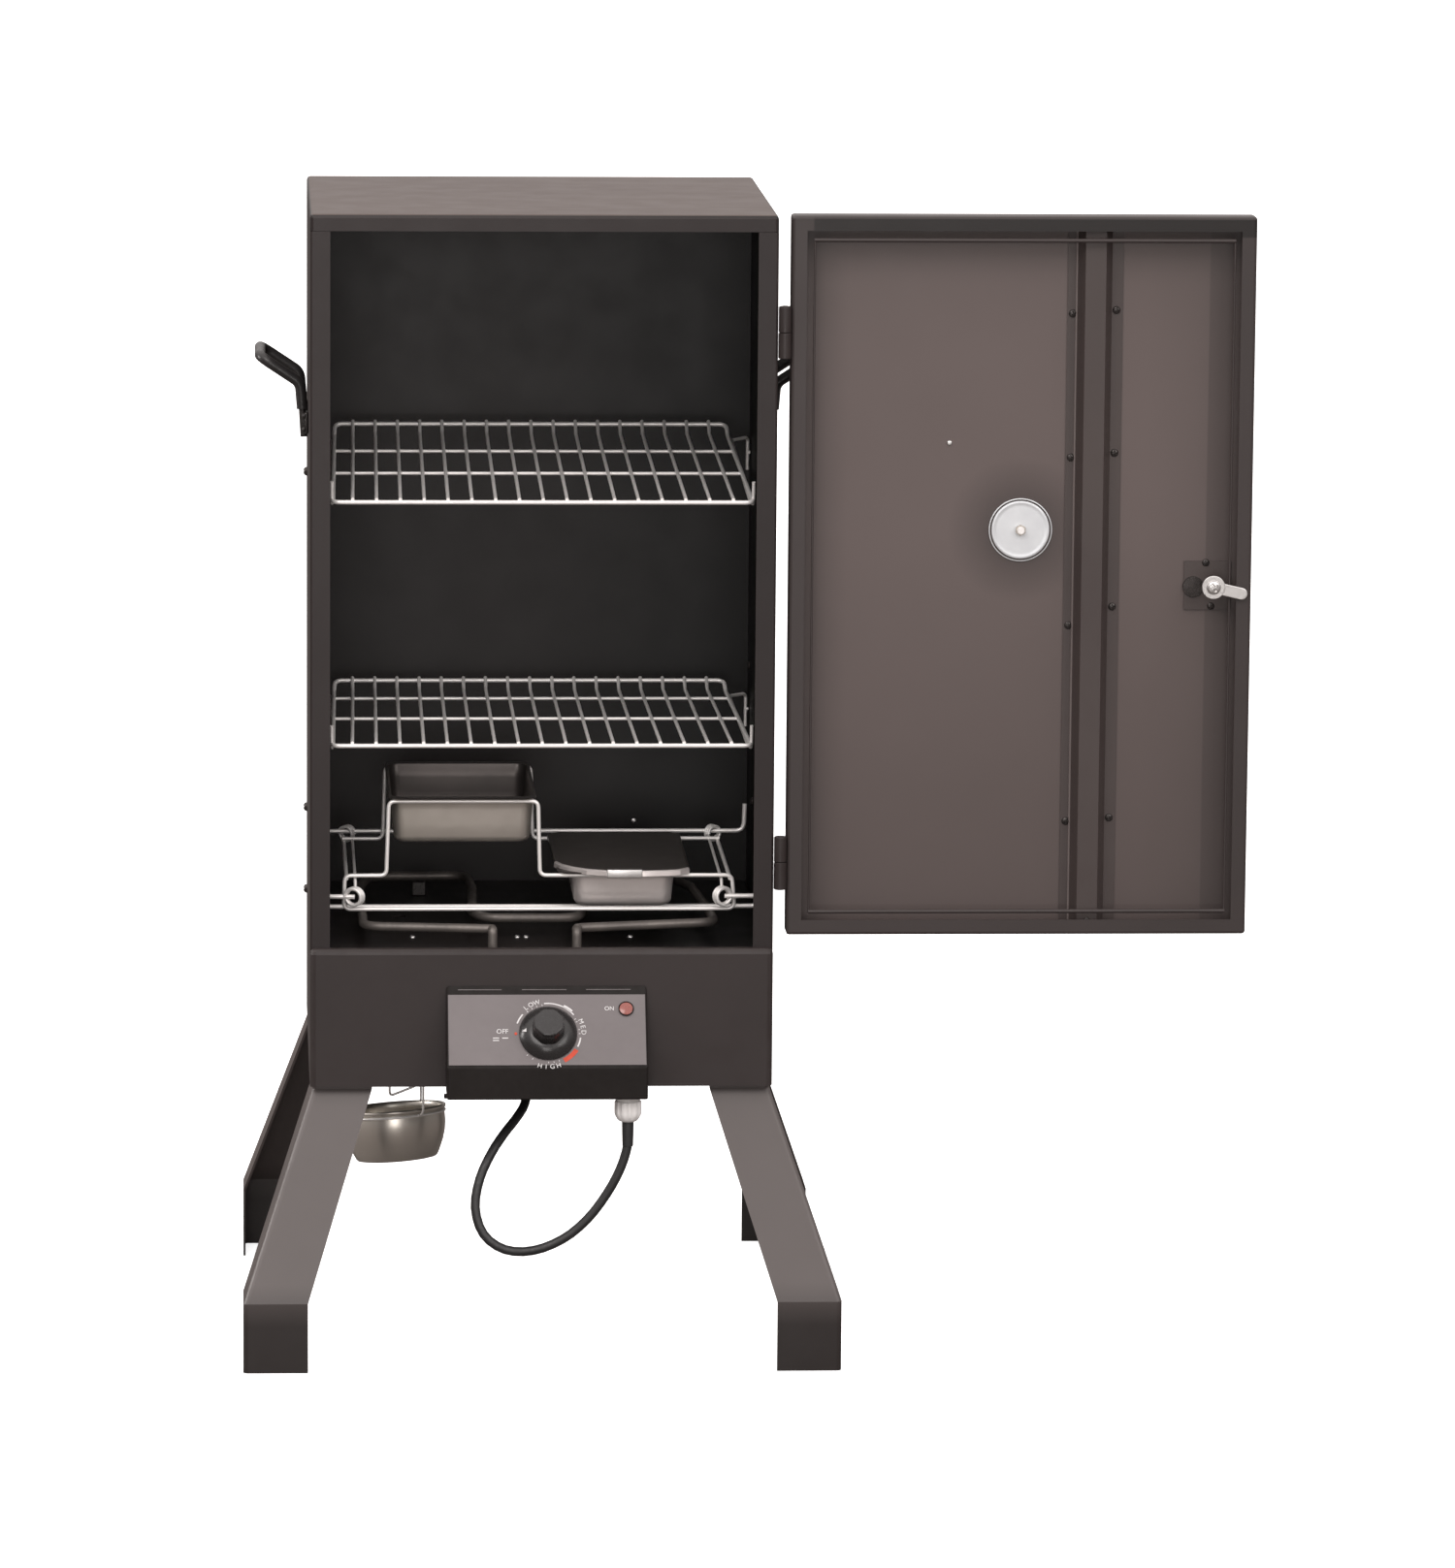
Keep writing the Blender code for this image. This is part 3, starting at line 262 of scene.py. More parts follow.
def door_material():
    """The pan's deep skin is lighter and browner than its folded rim. Painted shade darkens the skin towards
    its edges, top and bottom, a strip beside the right rim is that rim's painted shadow, and the top rim's
    flange gets a band of painted shade; the skin also darkens round the dial.
    """
    made, tree, shader, place, slow, axes = surface("door_pan_enamel", 3.0)
    rim = blend_colour(tree, slow, (0.04, 0.032, 0.031), (0.048, 0.038, 0.037))
    skin = blend_colour(tree, slow, (0.112, 0.088, 0.083), (0.126, 0.099, 0.094))
    low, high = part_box("door_panel")
    across, along, up = axes["X"], axes["Y"], axes["Z"]
    # Painted shade: the skin darkens towards its left and right edges, its top and its bottom; the sharp step
    # near the right edge is the right rim's painted shadow.
    amount = product(tree, [
        remap(tree, along, 0.0, 1.0, RIM_Y + 0.012, RIM_Y + 0.0225),
        remap(tree, across, 0.55, 1.0, low.x + 0.016, low.x + 0.05),
        remap(tree, across, 1.0, 0.85, high.x - 0.09, high.x - 0.038),
        remap(tree, across, 1.0, 0.55, high.x - 0.0372, high.x - 0.0358),
        remap(tree, up, 1.0, 0.6, high.z - 0.06, high.z - 0.015),
        remap(tree, up, 0.66, 1.0, low.z + 0.02, low.z + 0.34)])
    # Painted shade: a dark band on the top rim's front flange.
    top_rim_shade = product(tree, [
        remap(tree, up, 0.0, 1.0, high.z - 0.0182, high.z - 0.0168),
        remap(tree, up, 1.0, 0.25, high.z - 0.003, high.z - 0.0015),
        remap(tree, across, 0.0, 1.0, low.x + 0.0175, low.x + 0.019),
        remap(tree, along, 1.0, 0.0, RIM_Y + 0.004, RIM_Y + 0.006)])
    folded = blend_colour(tree, top_rim_shade, rim, (0.013, 0.0105, 0.01))
    flat = linked(tree, "CombineXYZ", across)
    tree.links.new(up, flat.inputs["Z"])
    reach = linked(tree, "VectorMath", flat.outputs["Vector"])
    reach.operation = "DISTANCE"
    reach.inputs[1].default_value = (DIAL_X + CX, 0.0, DIAL_Z)
    halo = remap(tree, reach.outputs["Value"], 0.34, 1.0, 0.026, 0.062)
    pan = product(tree, [amount, halo])
    outer_face = remap(tree, along, 0.0, 1.0, SKIN_Y - 0.0006, SKIN_Y - 0.0005)
    outer = blend_colour(tree, slow, (0.036, 0.028, 0.027), (0.042, 0.033, 0.032))
    inner = blend_colour(tree, pan, folded, skin)
    coat(tree, shader, place, blend_colour(tree, outer_face, inner, outer), 0.38, 0.43,
        grain=(1100.0, 0.06))
    put(shader, Specular_IOR_Level=0.4)
    return made


def shell_material():
    """Cabinet sheet: satin outside with a lighter painted-light top face, and painted shade making every face
    turned to the cooking space nearly black, darkest towards the right.
    """
    made, tree, shader, place, slow, axes = surface("cabinet_enamel", 4.0)
    across, along, up = axes["X"], axes["Y"], axes["Z"]
    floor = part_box("floor_pan")[1].z
    half_sheet, edge = SHEET / 2, 0.0001
    masks = []
    for value, low, high in ((across, CX - HALF_W, CX + HALF_W), (along, -HALF_D, HALF_D),
            (up, floor - 2 * half_sheet, HEIGHT)):
        low += half_sheet
        high -= half_sheet
        masks += [remap(tree, value, 0.0, 1.0, low, low + edge),
            remap(tree, value, 1.0, 0.0, high - edge, high)]
    inside = product(tree, masks)
    outer = blend_colour(tree, slow, (0.02, 0.015, 0.0148), (0.025, 0.019, 0.0186))
    # Painted shade: the faces inside the cooking space get a much darker copy of the enamel.
    inner = blend_colour(tree, slow, (0.009, 0.0068, 0.0066), (0.012, 0.0092, 0.0088))
    # Painted shade: inside, the right-hand part darkens to near black.
    right_shade_mask = remap(tree, across, 1.0, 0.0, CX - 0.02, CX + 0.12)
    side = blend_colour(tree, right_shade_mask, (0.0015, 0.0012, 0.0012), inner)
    # Painted light: the top face gets a lighter, warmer copy of the enamel.
    lit_top_mask = remap(tree, up, 0.0, 1.0, HEIGHT - 0.0008, HEIGHT - 0.0005)
    outer_with_lit_top = blend_colour(tree, lit_top_mask, outer, blend_colour(tree, slow, (0.054, 0.032, 0.025),
        (0.06, 0.037, 0.029)))
    coat(tree, shader, place, blend_colour(tree, inside, outer_with_lit_top, side), 0.38, 0.42, grain=(1100.0, 0.05))
    put(shader, Specular_IOR_Level=0.32)
    return made


DIAL_X, DIAL_Z = 0.4038, 0.7044
DOOR_PAINT = door_material()
STIFF_PAINT = finish("stiffener_enamel", (0.06, 0.047, 0.045), (0.068, 0.054, 0.051), 0.4,
    grain=(1100.0, 0.06), specular=0.4)
# Painted highlight: a light copy of the enamel for the thin rod along the stiffener's bend.
FOLD_HIGHLIGHT_PAINT = finish("fold_highlight_enamel", (0.15, 0.125, 0.12), (0.17, 0.142, 0.136), 0.36,
    grain=(1100.0, 0.06))
SHELL = shell_material()


# Building helpers

def place_piece(obj, paint, body, replaced=()):
    SCENE.collection.objects.link(obj)
    if paint:
        obj.data.materials.append(paint)
    if replaced:
        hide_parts(*replaced)
    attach(obj, body)
    return obj


def mesh_piece(name, bm, paint, body, slot, replaced=(), turn=None, smooth=35):
    bmesh.ops.recalc_face_normals(bm, faces=bm.faces)
    if turn:
        bm.transform(turn)
    mesh = bpy.data.meshes.new(name)
    bm.to_mesh(mesh)
    bm.free()
    for face in mesh.polygons:
        face.use_smooth = True
    mesh.set_sharp_from_angle(angle=radians(smooth))
    return place_piece(bpy.data.objects.new(name, mesh), paint, body, replaced)


def thicken(obj):
    """Sheet metal: the skin given is one face and the other lies inside it."""
    sheet = obj.modifiers.new("thickness", "SOLIDIFY")
    sheet.thickness = 0.0009
    sheet.offset = -1.0
    return sheet


def fillet(points, radius, steps=6):
    """A run of points with each inner corner rounded."""
    out = [Vector(points[0])]
    for before, corner, after in zip(points, points[1:], points[2:]):
        corner = Vector(corner)
        back = Vector(before) - corner
        ahead = Vector(after) - corner
        turn = pi - back.angle(ahead)
        if turn < 0.02:
            out.append(corner)
            continue
        reach = min(radius * tan(turn / 2), back.length * 0.48, ahead.length * 0.48)
        start = corner + back.normalized() * reach
        end = corner + ahead.normalized() * reach
        for step in range(steps + 1):
            t = step / steps
            out.append(start.lerp(corner, t).lerp(corner.lerp(end, t), t))
    out.append(Vector(points[-1]))
    return out


def wire_piece(name, runs, paint, body, replaced=(), turn=None, round_steps=4, depth=0.001):
    """Bent bars as one curve piece. Each run is (points, radius); a closed run ends where it starts."""
    curve = bpy.data.curves.new(name, "CURVE")
    curve.dimensions = "3D"
    curve.bevel_depth = depth
    curve.bevel_resolution = round_steps
    curve.use_fill_caps = True
    for points, radius in runs:
        points = [turn @ Vector(p) if turn else Vector(p) for p in points]
        closed = (points[0] - points[-1]).length < 1e-7
        kept = points[:-1] if closed else points
        spline = curve.splines.new("POLY")
        spline.points.add(len(kept) - 1)
        for point, place in zip(spline.points, kept):
            point.co = (*here(*place), 1.0)
            point.radius = radius / depth
        spline.use_cyclic_u = closed
        spline.use_smooth = True
    return place_piece(bpy.data.objects.new(name, curve), paint, body, replaced)


def circle(radius, z, steps):
    """Points round the z axis."""
    return [(radius * cos(2 * pi * i / steps), radius * sin(2 * pi * i / steps), z) for i in range(steps)]


def turned_mesh(profile, steps=64, closed=True):
    """A turned skin about Z from (radius, height) pairs."""
    bm = bmesh.new()
    rings = []
    for radius, height in profile:
        ring = circle(radius, height, steps) if radius > 1e-7 else [(0, 0, height)]
        rings.append([bm.verts.new(p) for p in ring])
    pairs = list(zip(rings, rings[1:]))
    if closed and profile[0][0] > 1e-7:
        pairs.append((rings[-1], rings[0]))
    for a, b in pairs:
        for i in range(steps):
            j = (i + 1) % steps
            if len(a) == 1:
                bm.faces.new((a[0], b[j], b[i]))
            elif len(b) == 1:
                bm.faces.new((a[i], a[j], b[0]))
            else:
                bm.faces.new((a[i], a[j], b[j], b[i]))
    return bm


def turned(name, profile, *where, steps=96, closed=False, **more):
    """A turned piece, where is its paint, body, slot (not used) and the nodes it replaces."""
    mesh_piece(name, turned_mesh(profile, steps, closed), *where, **more)


def screw_mesh(radius, height, cross=True):
    """A domed head with a cross recess, its base at z=0."""
    bm = bmesh.new()
    steps = 32
    rows = 9
    rings = []
    for row in range(rows + 1):
        share = row / rows
        ring = []
        for i in range(steps):
            angle = 2 * pi * i / steps
            u = radius * share * cos(angle)
            v = radius * share * sin(angle)
            z = height * sqrt(max(0.0, 1 - share ** 2.6))
            slot = min(abs(u), abs(v)) < radius * 0.13 and share < 0.62
            if cross and slot:
                z -= height * 0.55
            ring.append(bm.verts.new((u, v, z)))
            if row == 0:
                break
        rings.append(ring)
    for i in range(steps):
        j = (i + 1) % steps
        bm.faces.new((rings[0][0], rings[1][i], rings[1][j]))
        for a, b in zip(rings[1:], rings[2:]):
            bm.faces.new((a[i], b[i], b[j], a[j]))
    bm.faces.new(rings[-1][::-1])
    return bm


def facing(place, normal, spin=0.0):
    """A matrix whose z axis points along normal at place (local x from the cabinet's middle)."""
    quat = Vector(normal).to_track_quat("Z", "Y")
    return shift(*here(*place)) @ quat.to_matrix().to_4x4() @ Matrix.Rotation(spin, 4, "Z")


def screw(name, place, normal, radius, body, paint=SCREW, slot="black_enamel", height=None, cross=True,
        spin=0.4):
    mesh_piece(name, screw_mesh(radius, height or radius * 0.55, cross), paint, body, slot,
        turn=facing(place, normal, spin), smooth=28)


def screws(name, spots, *rest, **more):
    """Numbered screws, one on each spot."""
    for index, spot in enumerate(spots):
        screw("%s_%d" % (name, index), spot, *rest, **more)


def block(bm, low, high, bevel, segments=2):
    """A box with eased edges, added to bm."""
    size = [b - a for a, b in zip(low, high)]
    centre = [(a + b) / 2 for a, b in zip(low, high)]
    made = bmesh.ops.create_cube(bm, size=1.0, matrix=shift(*centre) @ Matrix.Diagonal((*size, 1.0)))
    edges = {e for v in made["verts"] for e in v.link_edges}
    bmesh.ops.bevel(bm, geom=list(edges), offset=bevel, segments=segments, affect="EDGES", profile=0.5)
    return bm


def stud(bm, low, high, depth, spot, segments=32):
    """A plain turned pin or a washer, added to bm."""
    bmesh.ops.create_cone(bm, cap_ends=True, segments=segments, radius1=low, radius2=high, depth=depth,
        matrix=spot)


def bar(bm, spot, *size):
    """A thin printed bar."""
    bmesh.ops.create_cube(bm, size=1.0, matrix=spot @ Matrix.Diagonal((*size, 1)))


def rounded_rect(x0, x1, y0, y1, radius, z, steps=8):
    out = []
    for x, y, first in ((x1, y0, -90), (x1, y1, 0), (x0, y1, 90), (x0, y0, 180)):
        cx = x - radius if x == x1 else x + radius
        cy = y - radius if y == y1 else y + radius
        for step in range(steps + 1):
            angle = radians(first + 90 * step / steps)
            out.append((cx + radius * cos(angle), cy + radius * sin(angle), z))
    return out


def lofted(sections, cap_last=False, cap_first=False, bm=None):
    """A skin from ring to ring, added to bm when one is given."""
    bm = bm or bmesh.new()
    grid = [[bm.verts.new(p) for p in row] for row in sections]
    for a, b in zip(grid, grid[1:]):
        for i in range(len(a)):
            j = (i + 1) % len(a)
            bm.faces.new((a[i], a[j], b[j], b[i]))
    if cap_last:
        bm.faces.new(grid[-1])
    if cap_first:
        bm.faces.new(grid[0][::-1])
    return bm


# Mains lead: the route under the floor is the CAD's own, in metres, then a coil of loops on the hook.

LEAD = (
    (0.0725, -0.215, 0.244), (0.0725, -0.215, 0.206), (0.0725, -0.215, 0.1868), (0.0665, -0.215, 0.166),
    (0.055, -0.215, 0.144), (0.0385, -0.215, 0.122), (0.018, -0.2148, 0.105), (-0.007, -0.214, 0.095),
    (-0.031, -0.212, 0.0955), (-0.049, -0.208, 0.108), (-0.056, -0.203, 0.13), (-0.052, -0.196, 0.1535),
    (-0.042, -0.186, 0.1735), (-0.031, -0.173, 0.1875), (-0.02, -0.155, 0.1975), (-0.012, -0.134, 0.206),
    (-0.0095, -0.111, 0.218), (-0.01, -0.085, 0.238), (-0.0122, -0.058, 0.262), (-0.015, -0.028, 0.286),
    (-0.0175, 0.005, 0.305), (-0.019, 0.04, 0.318), (-0.0198, 0.079, 0.3243),
)
CORD_R = 0.004
COIL = (-0.0198, 0.115, 0.2825)
COIL_RADIUS = 0.0425
COIL_TURNS = 3.25
COIL_PITCH = 0.0082


def catmull(points, per):
    """A smooth run through points, per steps from one to the next."""
    ends = [2 * points[0] - points[1]] + list(points) + [2 * points[-1] - points[-2]]
    out = []
    for a, b, c, d in zip(ends, ends[1:], ends[2:], ends[3:]):
        for step in range(per):
            t = step / per
            out.append(0.5 * ((2 * b) + (c - a) * t + (2 * a - 5 * b + 4 * c - d) * t * t
                              + (3 * b - a - 3 * c + d) * t * t * t))
    out.append(points[-1])
    return out


def make_cord():
    x, y, z = COIL
    route = [Vector(p) for p in LEAD[1:]]
    steps = int(COIL_TURNS * 24)
    for i in range(steps + 1):
        share = i / steps
        angle = 2 * pi * COIL_TURNS * share
        spot = (x - COIL_PITCH * COIL_TURNS * share, y + COIL_RADIUS * sin(angle),
            z + COIL_RADIUS * cos(angle))
        route.append(Vector(spot))
    low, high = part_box("mains_plug")
    end = Vector(((low.x + high.x) / 2 - CX, (low.y + high.y) / 2, high.z - 0.006))
    start = route[-1]
    for share, drift in ((0.28, 0.12), (0.6, 0.62), (0.82, 0.92), (1, 1)):
        route.append(start + (end - start) * Vector((drift, drift, share)))
    fine = catmull(route, 3)
    lead = wire_piece("mains_lead_whole", [(fine, CORD_R)], RUBBER, "cabinet",
        ("mains_lead", "mains_lead_coil"), round_steps=6, depth=CORD_R)
    plug = make_plug()


def make_plug():
    """A moulded plug: a tapered neck, a waisted body with grip ribs and two pins."""
    low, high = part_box("mains_plug")
    centre = (low + high) / 2
    half = (high - low) / 2
    sections = []
    rows = ((1, 0.26), (0.86, 0.3), (0.72, 0.42), (0.56, 0.72), (0.3, 0.92), (0.0, 0.96), (-0.12, 0.86),
        (-0.2, 0.96), (-0.3, 0.86), (-0.38, 0.96), (-0.46, 0.9), (-0.52, 0.84))
    for height, width in rows:
        z = centre.z + half.z * height
        a, b = half.x * width, half.y * width * 0.9
        edges = (centre.x - a, centre.x + a, centre.y - b, centre.y + b)
        sections.append(rounded_rect(*edges, b * 0.55 / 0.9, z, 6))
    bm = lofted(sections, True, True)
    floor = centre.z + half.z * -0.52
    for dx in (-0.5, 0.5):
        block(bm, (centre.x + half.x * dx - 0.0008, centre.y - 0.0032, low.z + 0.0004),
            (centre.x + half.x * dx + 0.0008, centre.y + 0.0032, floor + 0.001), 0.0003)
    return mesh_piece("mains_plug_moulded", bm, RUBBER, "cabinet", "cord_rubber", ("mains_plug",),
        smooth=40)


make_cord()


# Racks and hangers

RACK_FRONT = -0.175
WIRE = 0.0015
FRAME_WIRE = 0.0019
RACK_HALF = 0.1765
RACK_DEEP = 0.32
RACK_RISE = 0.0085


def rack_turn(height, tilt):
    return shift(0, RACK_FRONT, height) @ about("X", tilt)


def make_rack(name, height, tilt, crossings):
    turn = rack_turn(height, tilt)
    kink = RACK_DEEP - 0.015
    over = 0.0024
    runs = []
    for index in range(17):
        x = -0.16 + 0.02 * index
        back = x * 0.975
        path = [(x, -0.0004, over), (x, 0.004, over), (back, kink, over),
            (back, RACK_DEEP + 0.0006, RACK_RISE + over)]
        runs.append((fillet(path, 0.012, 4), WIRE))
    back_half = RACK_HALF - 0.005
    loop = [(0, 0, 0), (RACK_HALF, 0, 0), (back_half + 0.001, kink, 0),
        (back_half, RACK_DEEP - 0.001, RACK_RISE), (-back_half, RACK_DEEP - 0.001, RACK_RISE),
        (-back_half - 0.001, kink, 0), (-RACK_HALF, 0, 0), (0, 0, 0)]
    runs.append((fillet(loop, 0.007, 6), FRAME_WIRE))
    for y in crossings:
        runs.append(([(-RACK_HALF + 0.0035, y, 0), (RACK_HALF - 0.0035, y, 0)], WIRE))
    wire_piece(name + "_wires", runs, CHROME, name, (name,), turn)
    welds = bmesh.new()
    for y in crossings:
        for index in range(17):
            x = (-0.16 + 0.02 * index) * (1 - 0.025 * y / kink)
            spot = shift(x, y, 0.0012) @ Matrix.Diagonal((1.0, 1.0, 0.7, 1.0))
            bmesh.ops.create_icosphere(welds, subdivisions=1, radius=0.0021, matrix=spot)
    mesh_piece(name + "_weld_spots", welds, CHROME, name, "chrome_wire", turn=shift(CX, 0, 0) @ turn,
        smooth=80)


def make_hanger(name, side, height, tilt):
    z = -WIRE - FRAME_WIRE - 0.0006
    path = [(0.1912, 0.327, -0.0335), (0.1912, 0.327, z - 0.002), (0.189, 0.323, z), (0.1758, 0.309, z),
        (0.1758, 0.03, z), (0.1775, 0.012, z), (0.1775, 0.008, 0.016)]
    link = [(0.1912, 0.327, -0.018), (0.1935, 0.327, -0.018)]
    path, link = [[(side * x, y, z) for x, y, z in run] for run in (path, link)]
    wire_piece(name + "_wire", [(fillet(path, 0.006), WIRE), (link, WIRE)], CHROME, "cabinet",
        (name,), rack_turn(height, tilt))


UPPER, LOWER = (0.729, 3.7), (0.522, 0.0)
make_rack("upper_rack", *UPPER, (0.131, 0.234))
make_rack("lower_rack", *LOWER, (0.151, 0.268))
for rack, seat in (("upper_rack", UPPER), ("lower_rack", LOWER)):
    make_hanger(rack + "_hanger_left", -1, *seat)
    make_hanger(rack + "_hanger_right", 1, *seat)


# Pan frame, support rods, pans, element

LOW_Z = 0.403
HIGH_Z = 0.467
FRAME_FRONT = -0.128
FRAME_BACK = 0.062
PIN_Y = -0.1345
PIN_Z = 0.386
PAN_WIRE = 0.00175


def coil_run(x, y, z, radius, turns, pitch, swing=0.0, steps=20):
    """A short winding about an axis along x, swung about z."""
    c, s = cos(swing), sin(swing)
    out = []
    for step in range(int(turns * steps) + 1):
        angle = 2 * pi * step / steps
        across = pitch * (step / steps - turns / 2)
        side = radius * cos(angle)
        out.append((x + across * c - side * s, y + across * s + side * c, z + radius * sin(angle)))
    return out


def make_pan_frame():
    front = [(0.0, FRAME_FRONT, 0.374), (-0.1665, FRAME_FRONT, 0.374), (-0.166, FRAME_FRONT, LOW_Z),
        (-0.1305, FRAME_FRONT, LOW_Z), (-0.1285, FRAME_FRONT, HIGH_Z), (-0.0015, FRAME_FRONT, HIGH_Z),
        (0.0002, FRAME_FRONT, LOW_Z), (0.164, FRAME_FRONT, LOW_Z), (0.1665, FRAME_FRONT, 0.374),
        (0.0, FRAME_FRONT, 0.374)]
    back = [(x, FRAME_BACK, z) for x, _, z in front[2:8]]
    runs = [(fillet(front, 0.006), PAN_WIRE), (fillet(back, 0.006), PAN_WIRE)]
    for outer, inner, side in ((-0.1645, -0.158, 1), (0.1625, 0.156, -1)):
        rail = [(outer, FRAME_FRONT + 0.0005, LOW_Z - 0.0028), (outer, 0.088, LOW_Z - 0.0028)]
        runs.append((rail, PAN_WIRE))
        runs.append((coil_run(outer + side * 0.003, 0.09, 0.403, 0.0064, 2.5, 0.0028, side * 1.0), 0.0013))
        runs.append((coil_run(inner, PIN_Y - 0.0005, PIN_Z, 0.0072, 2.75, 0.003, side * 1.15), 0.0015))
        link = [(inner + side * 0.001, PIN_Y + 0.001, PIN_Z + 0.0076),
            (inner + side * 0.001, FRAME_FRONT, LOW_Z - 0.0035),
            (inner + side * 0.001, 0.086, LOW_Z - 0.0005)]
        runs.append((fillet(link, 0.004), 0.0013))
    wire_piece("pan_frame_wires", runs, CHROME, "cabinet", ("pan_frame",))
    for word, side in (("left", -1), ("right", 1)):
        end = side * (HALF_W - 0.0014)
        pin = [(end, PIN_Y, PIN_Z), (side * 0.1575, PIN_Y, PIN_Z)]
        wire_piece(word + "_frame_pin", [(pin, 0.0021)], CHROME, "cabinet")


def make_support_rods():
    back = fillet(mm((-194.3, 90, 405), (186.8, 90, 405), (187.6, 90, 429)), 0.008)
    wire_piece("rear_support_wire", [(back, 0.002)], CHROME, "cabinet",
        ("rear_support_rod",))
    low = fillet(mm((-194.3, -90, 369.5), (186, -90, 369.5), (192.5, -90, 379)), 0.006)
    wire_piece("lower_support_wire", [(low, 0.002)], CHROME, "cabinet",
        ("lower_support_rod",))


def pan_piece(name, rim, body, z_rim, z_low, node, outside):
    """A deep-drawn tray with a rolled rim and rounded bottom edge."""
    corner = 0.012

    def ring(edges, inset, radius, z):
        x0, x1, y0, y1 = edges
        return rounded_rect(x0 + inset, x1 - inset, y0 + inset, y1 - inset, radius, z)

    sections = [ring(rim, 0.0004, corner, z_rim - 0.001), ring(rim, 0.0, corner, z_rim - 0.0004),
        ring(rim, 0.0008, corner, z_rim), ring(body, -0.0008, corner * 0.85, z_rim)]
    for share in (0.03, 0.3, 0.6, 0.88):
        z = z_rim - share * (z_rim - z_low)
        d = 0.003 * share
        sections.append(ring(body, d, corner * 0.8, z))
    for share in (0.25, 0.6, 0.85, 1.0):
        angle = share * pi / 2
        d = 0.003 + 0.0042 * (1 - cos(angle))
        z = z_low + 0.0042 * (1 - sin(angle))
        sections.append(ring(body, d, corner * 0.8 - 0.4 * (d - 0.003), z))
    bm = lofted([[(x + CX, y, z) for x, y, z in row] for row in sections], cap_last=True)
    # The inner faces take the painted-shade copy of the steel, and the outer ones take the given outside
    # steel.
    obj = mesh_piece(name, bm, STEEL_PAINTED_SHADE, node, "plain_steel", (node,), smooth=45)
    obj.data.materials.append(outside)
    thicken(obj).material_offset = 1


def lid_outline(inset):
    """The cover's outline in plan, clockwise from its front left corner."""
    front = mm((14, -98), (18.5, -112), (27, -125), (40, -137), (56.5, -144.5), (87, -146.5), (108, -144),
        (119, -140), (127, -130))
    back = mm((129, 50), (120, 61), (22, 61), (12.5, 50))
    points = [Vector((x, y, 0)) for x, y in front + back]
    centre = Vector((0.0715, -0.04, 0))
    out = []
    for point in points:
        away = point - centre
        out.append(point - away.normalized() * inset)
    return out


def make_lid():
    z = 0.4092

    def ring(inset, height):
        return [(p.x + CX, p.y, height) for p in lid_outline(inset)]

    drop = 0.0042
    sections = [ring(0.0012, z - drop + 0.0006), ring(0.0004, z - drop), ring(0.0, z - 0.0014),
        ring(0.0005, z - 0.0004), ring(0.0018, z), ring(0.004, z + 0.0002), ring(0.007, z - 0.0002),
        ring(0.01, z - 0.0003)]
    bm = lofted(sections, cap_last=True)
    obj = mesh_piece("chip_lid_pressed", bm, LID, "chip_lid", "black_enamel", ("chip_lid",), smooth=24)
    thicken(obj)
    rows = []
    outline = lid_outline(0.0)[:9]
    centre = Vector((0.0715, -0.04, 0))
    lip = mm((-2.2, 0.6), (0, 0.5), (1, -0.4), (1.2, -4), (0.4, -4.6), (-0.6, -4.2))
    for point in outline:
        away = (point - centre).normalized()
        rows.append([(point.x + away.x * out + CX, point.y + away.y * out, z + rise) for out, rise in lip])
    mesh_piece("chip_lid_edge", lofted(rows, True, True), TRAY_STEEL_PAINTED_LIGHT, "chip_lid", "plain_steel", smooth=15)
    bm = bmesh.new()
    block(bm, (0.0565 + CX, -0.1486, z - 0.0052), (0.0868 + CX, -0.1425, z + 0.0018), 0.0008, 3)
    mesh_piece("chip_lid_tab", bm, ZINC, "chip_lid", "plain_steel", smooth=40)


def make_element():
    z = 0.362
    plan = mm((-41, -158), (-150, -144), (-151.2, 46.7), (-141.8, 106.4), (-57, 110.6), (-52.8, 45.7),
        (-56, -75.9), (-46, -104.6), (32.8, -105.5), (40, -70), (42, 45), (50, 106), (120, 106),
        (138.6, 50), (148, -78.1), (150, -127), (30.5, -154.5))
    path = [(-0.041, -0.165, 0.325), (-0.041, -0.165, z)] + [(x, y, z) for x, y in plan]
    path += [(0.0305, -0.165, z), (0.0305, -0.165, 0.325)]
    wire_piece("element_tube", [(fillet(path, 0.019, 8), 0.004)], ELEMENT, "cabinet",
        ("heating_element",), round_steps=6)


make_pan_frame()
make_support_rods()
pan_piece("water_pan_drawn", (-0.129, -0.003, -0.1345, 0.0685), (-0.126, -0.006, -0.122, 0.056), 0.4702,
    0.431, "water_pan", STEEL)
# The chip tray's outside takes the painted-light copy of the steel.
pan_piece("chip_tray_drawn", (0.015, 0.129, -0.1345, 0.0685), (0.028, 0.115, -0.12, 0.05), 0.4062, 0.3755,
    "chip_tray", TRAY_STEEL_PAINTED_LIGHT)
make_lid()
make_element()


# Handles

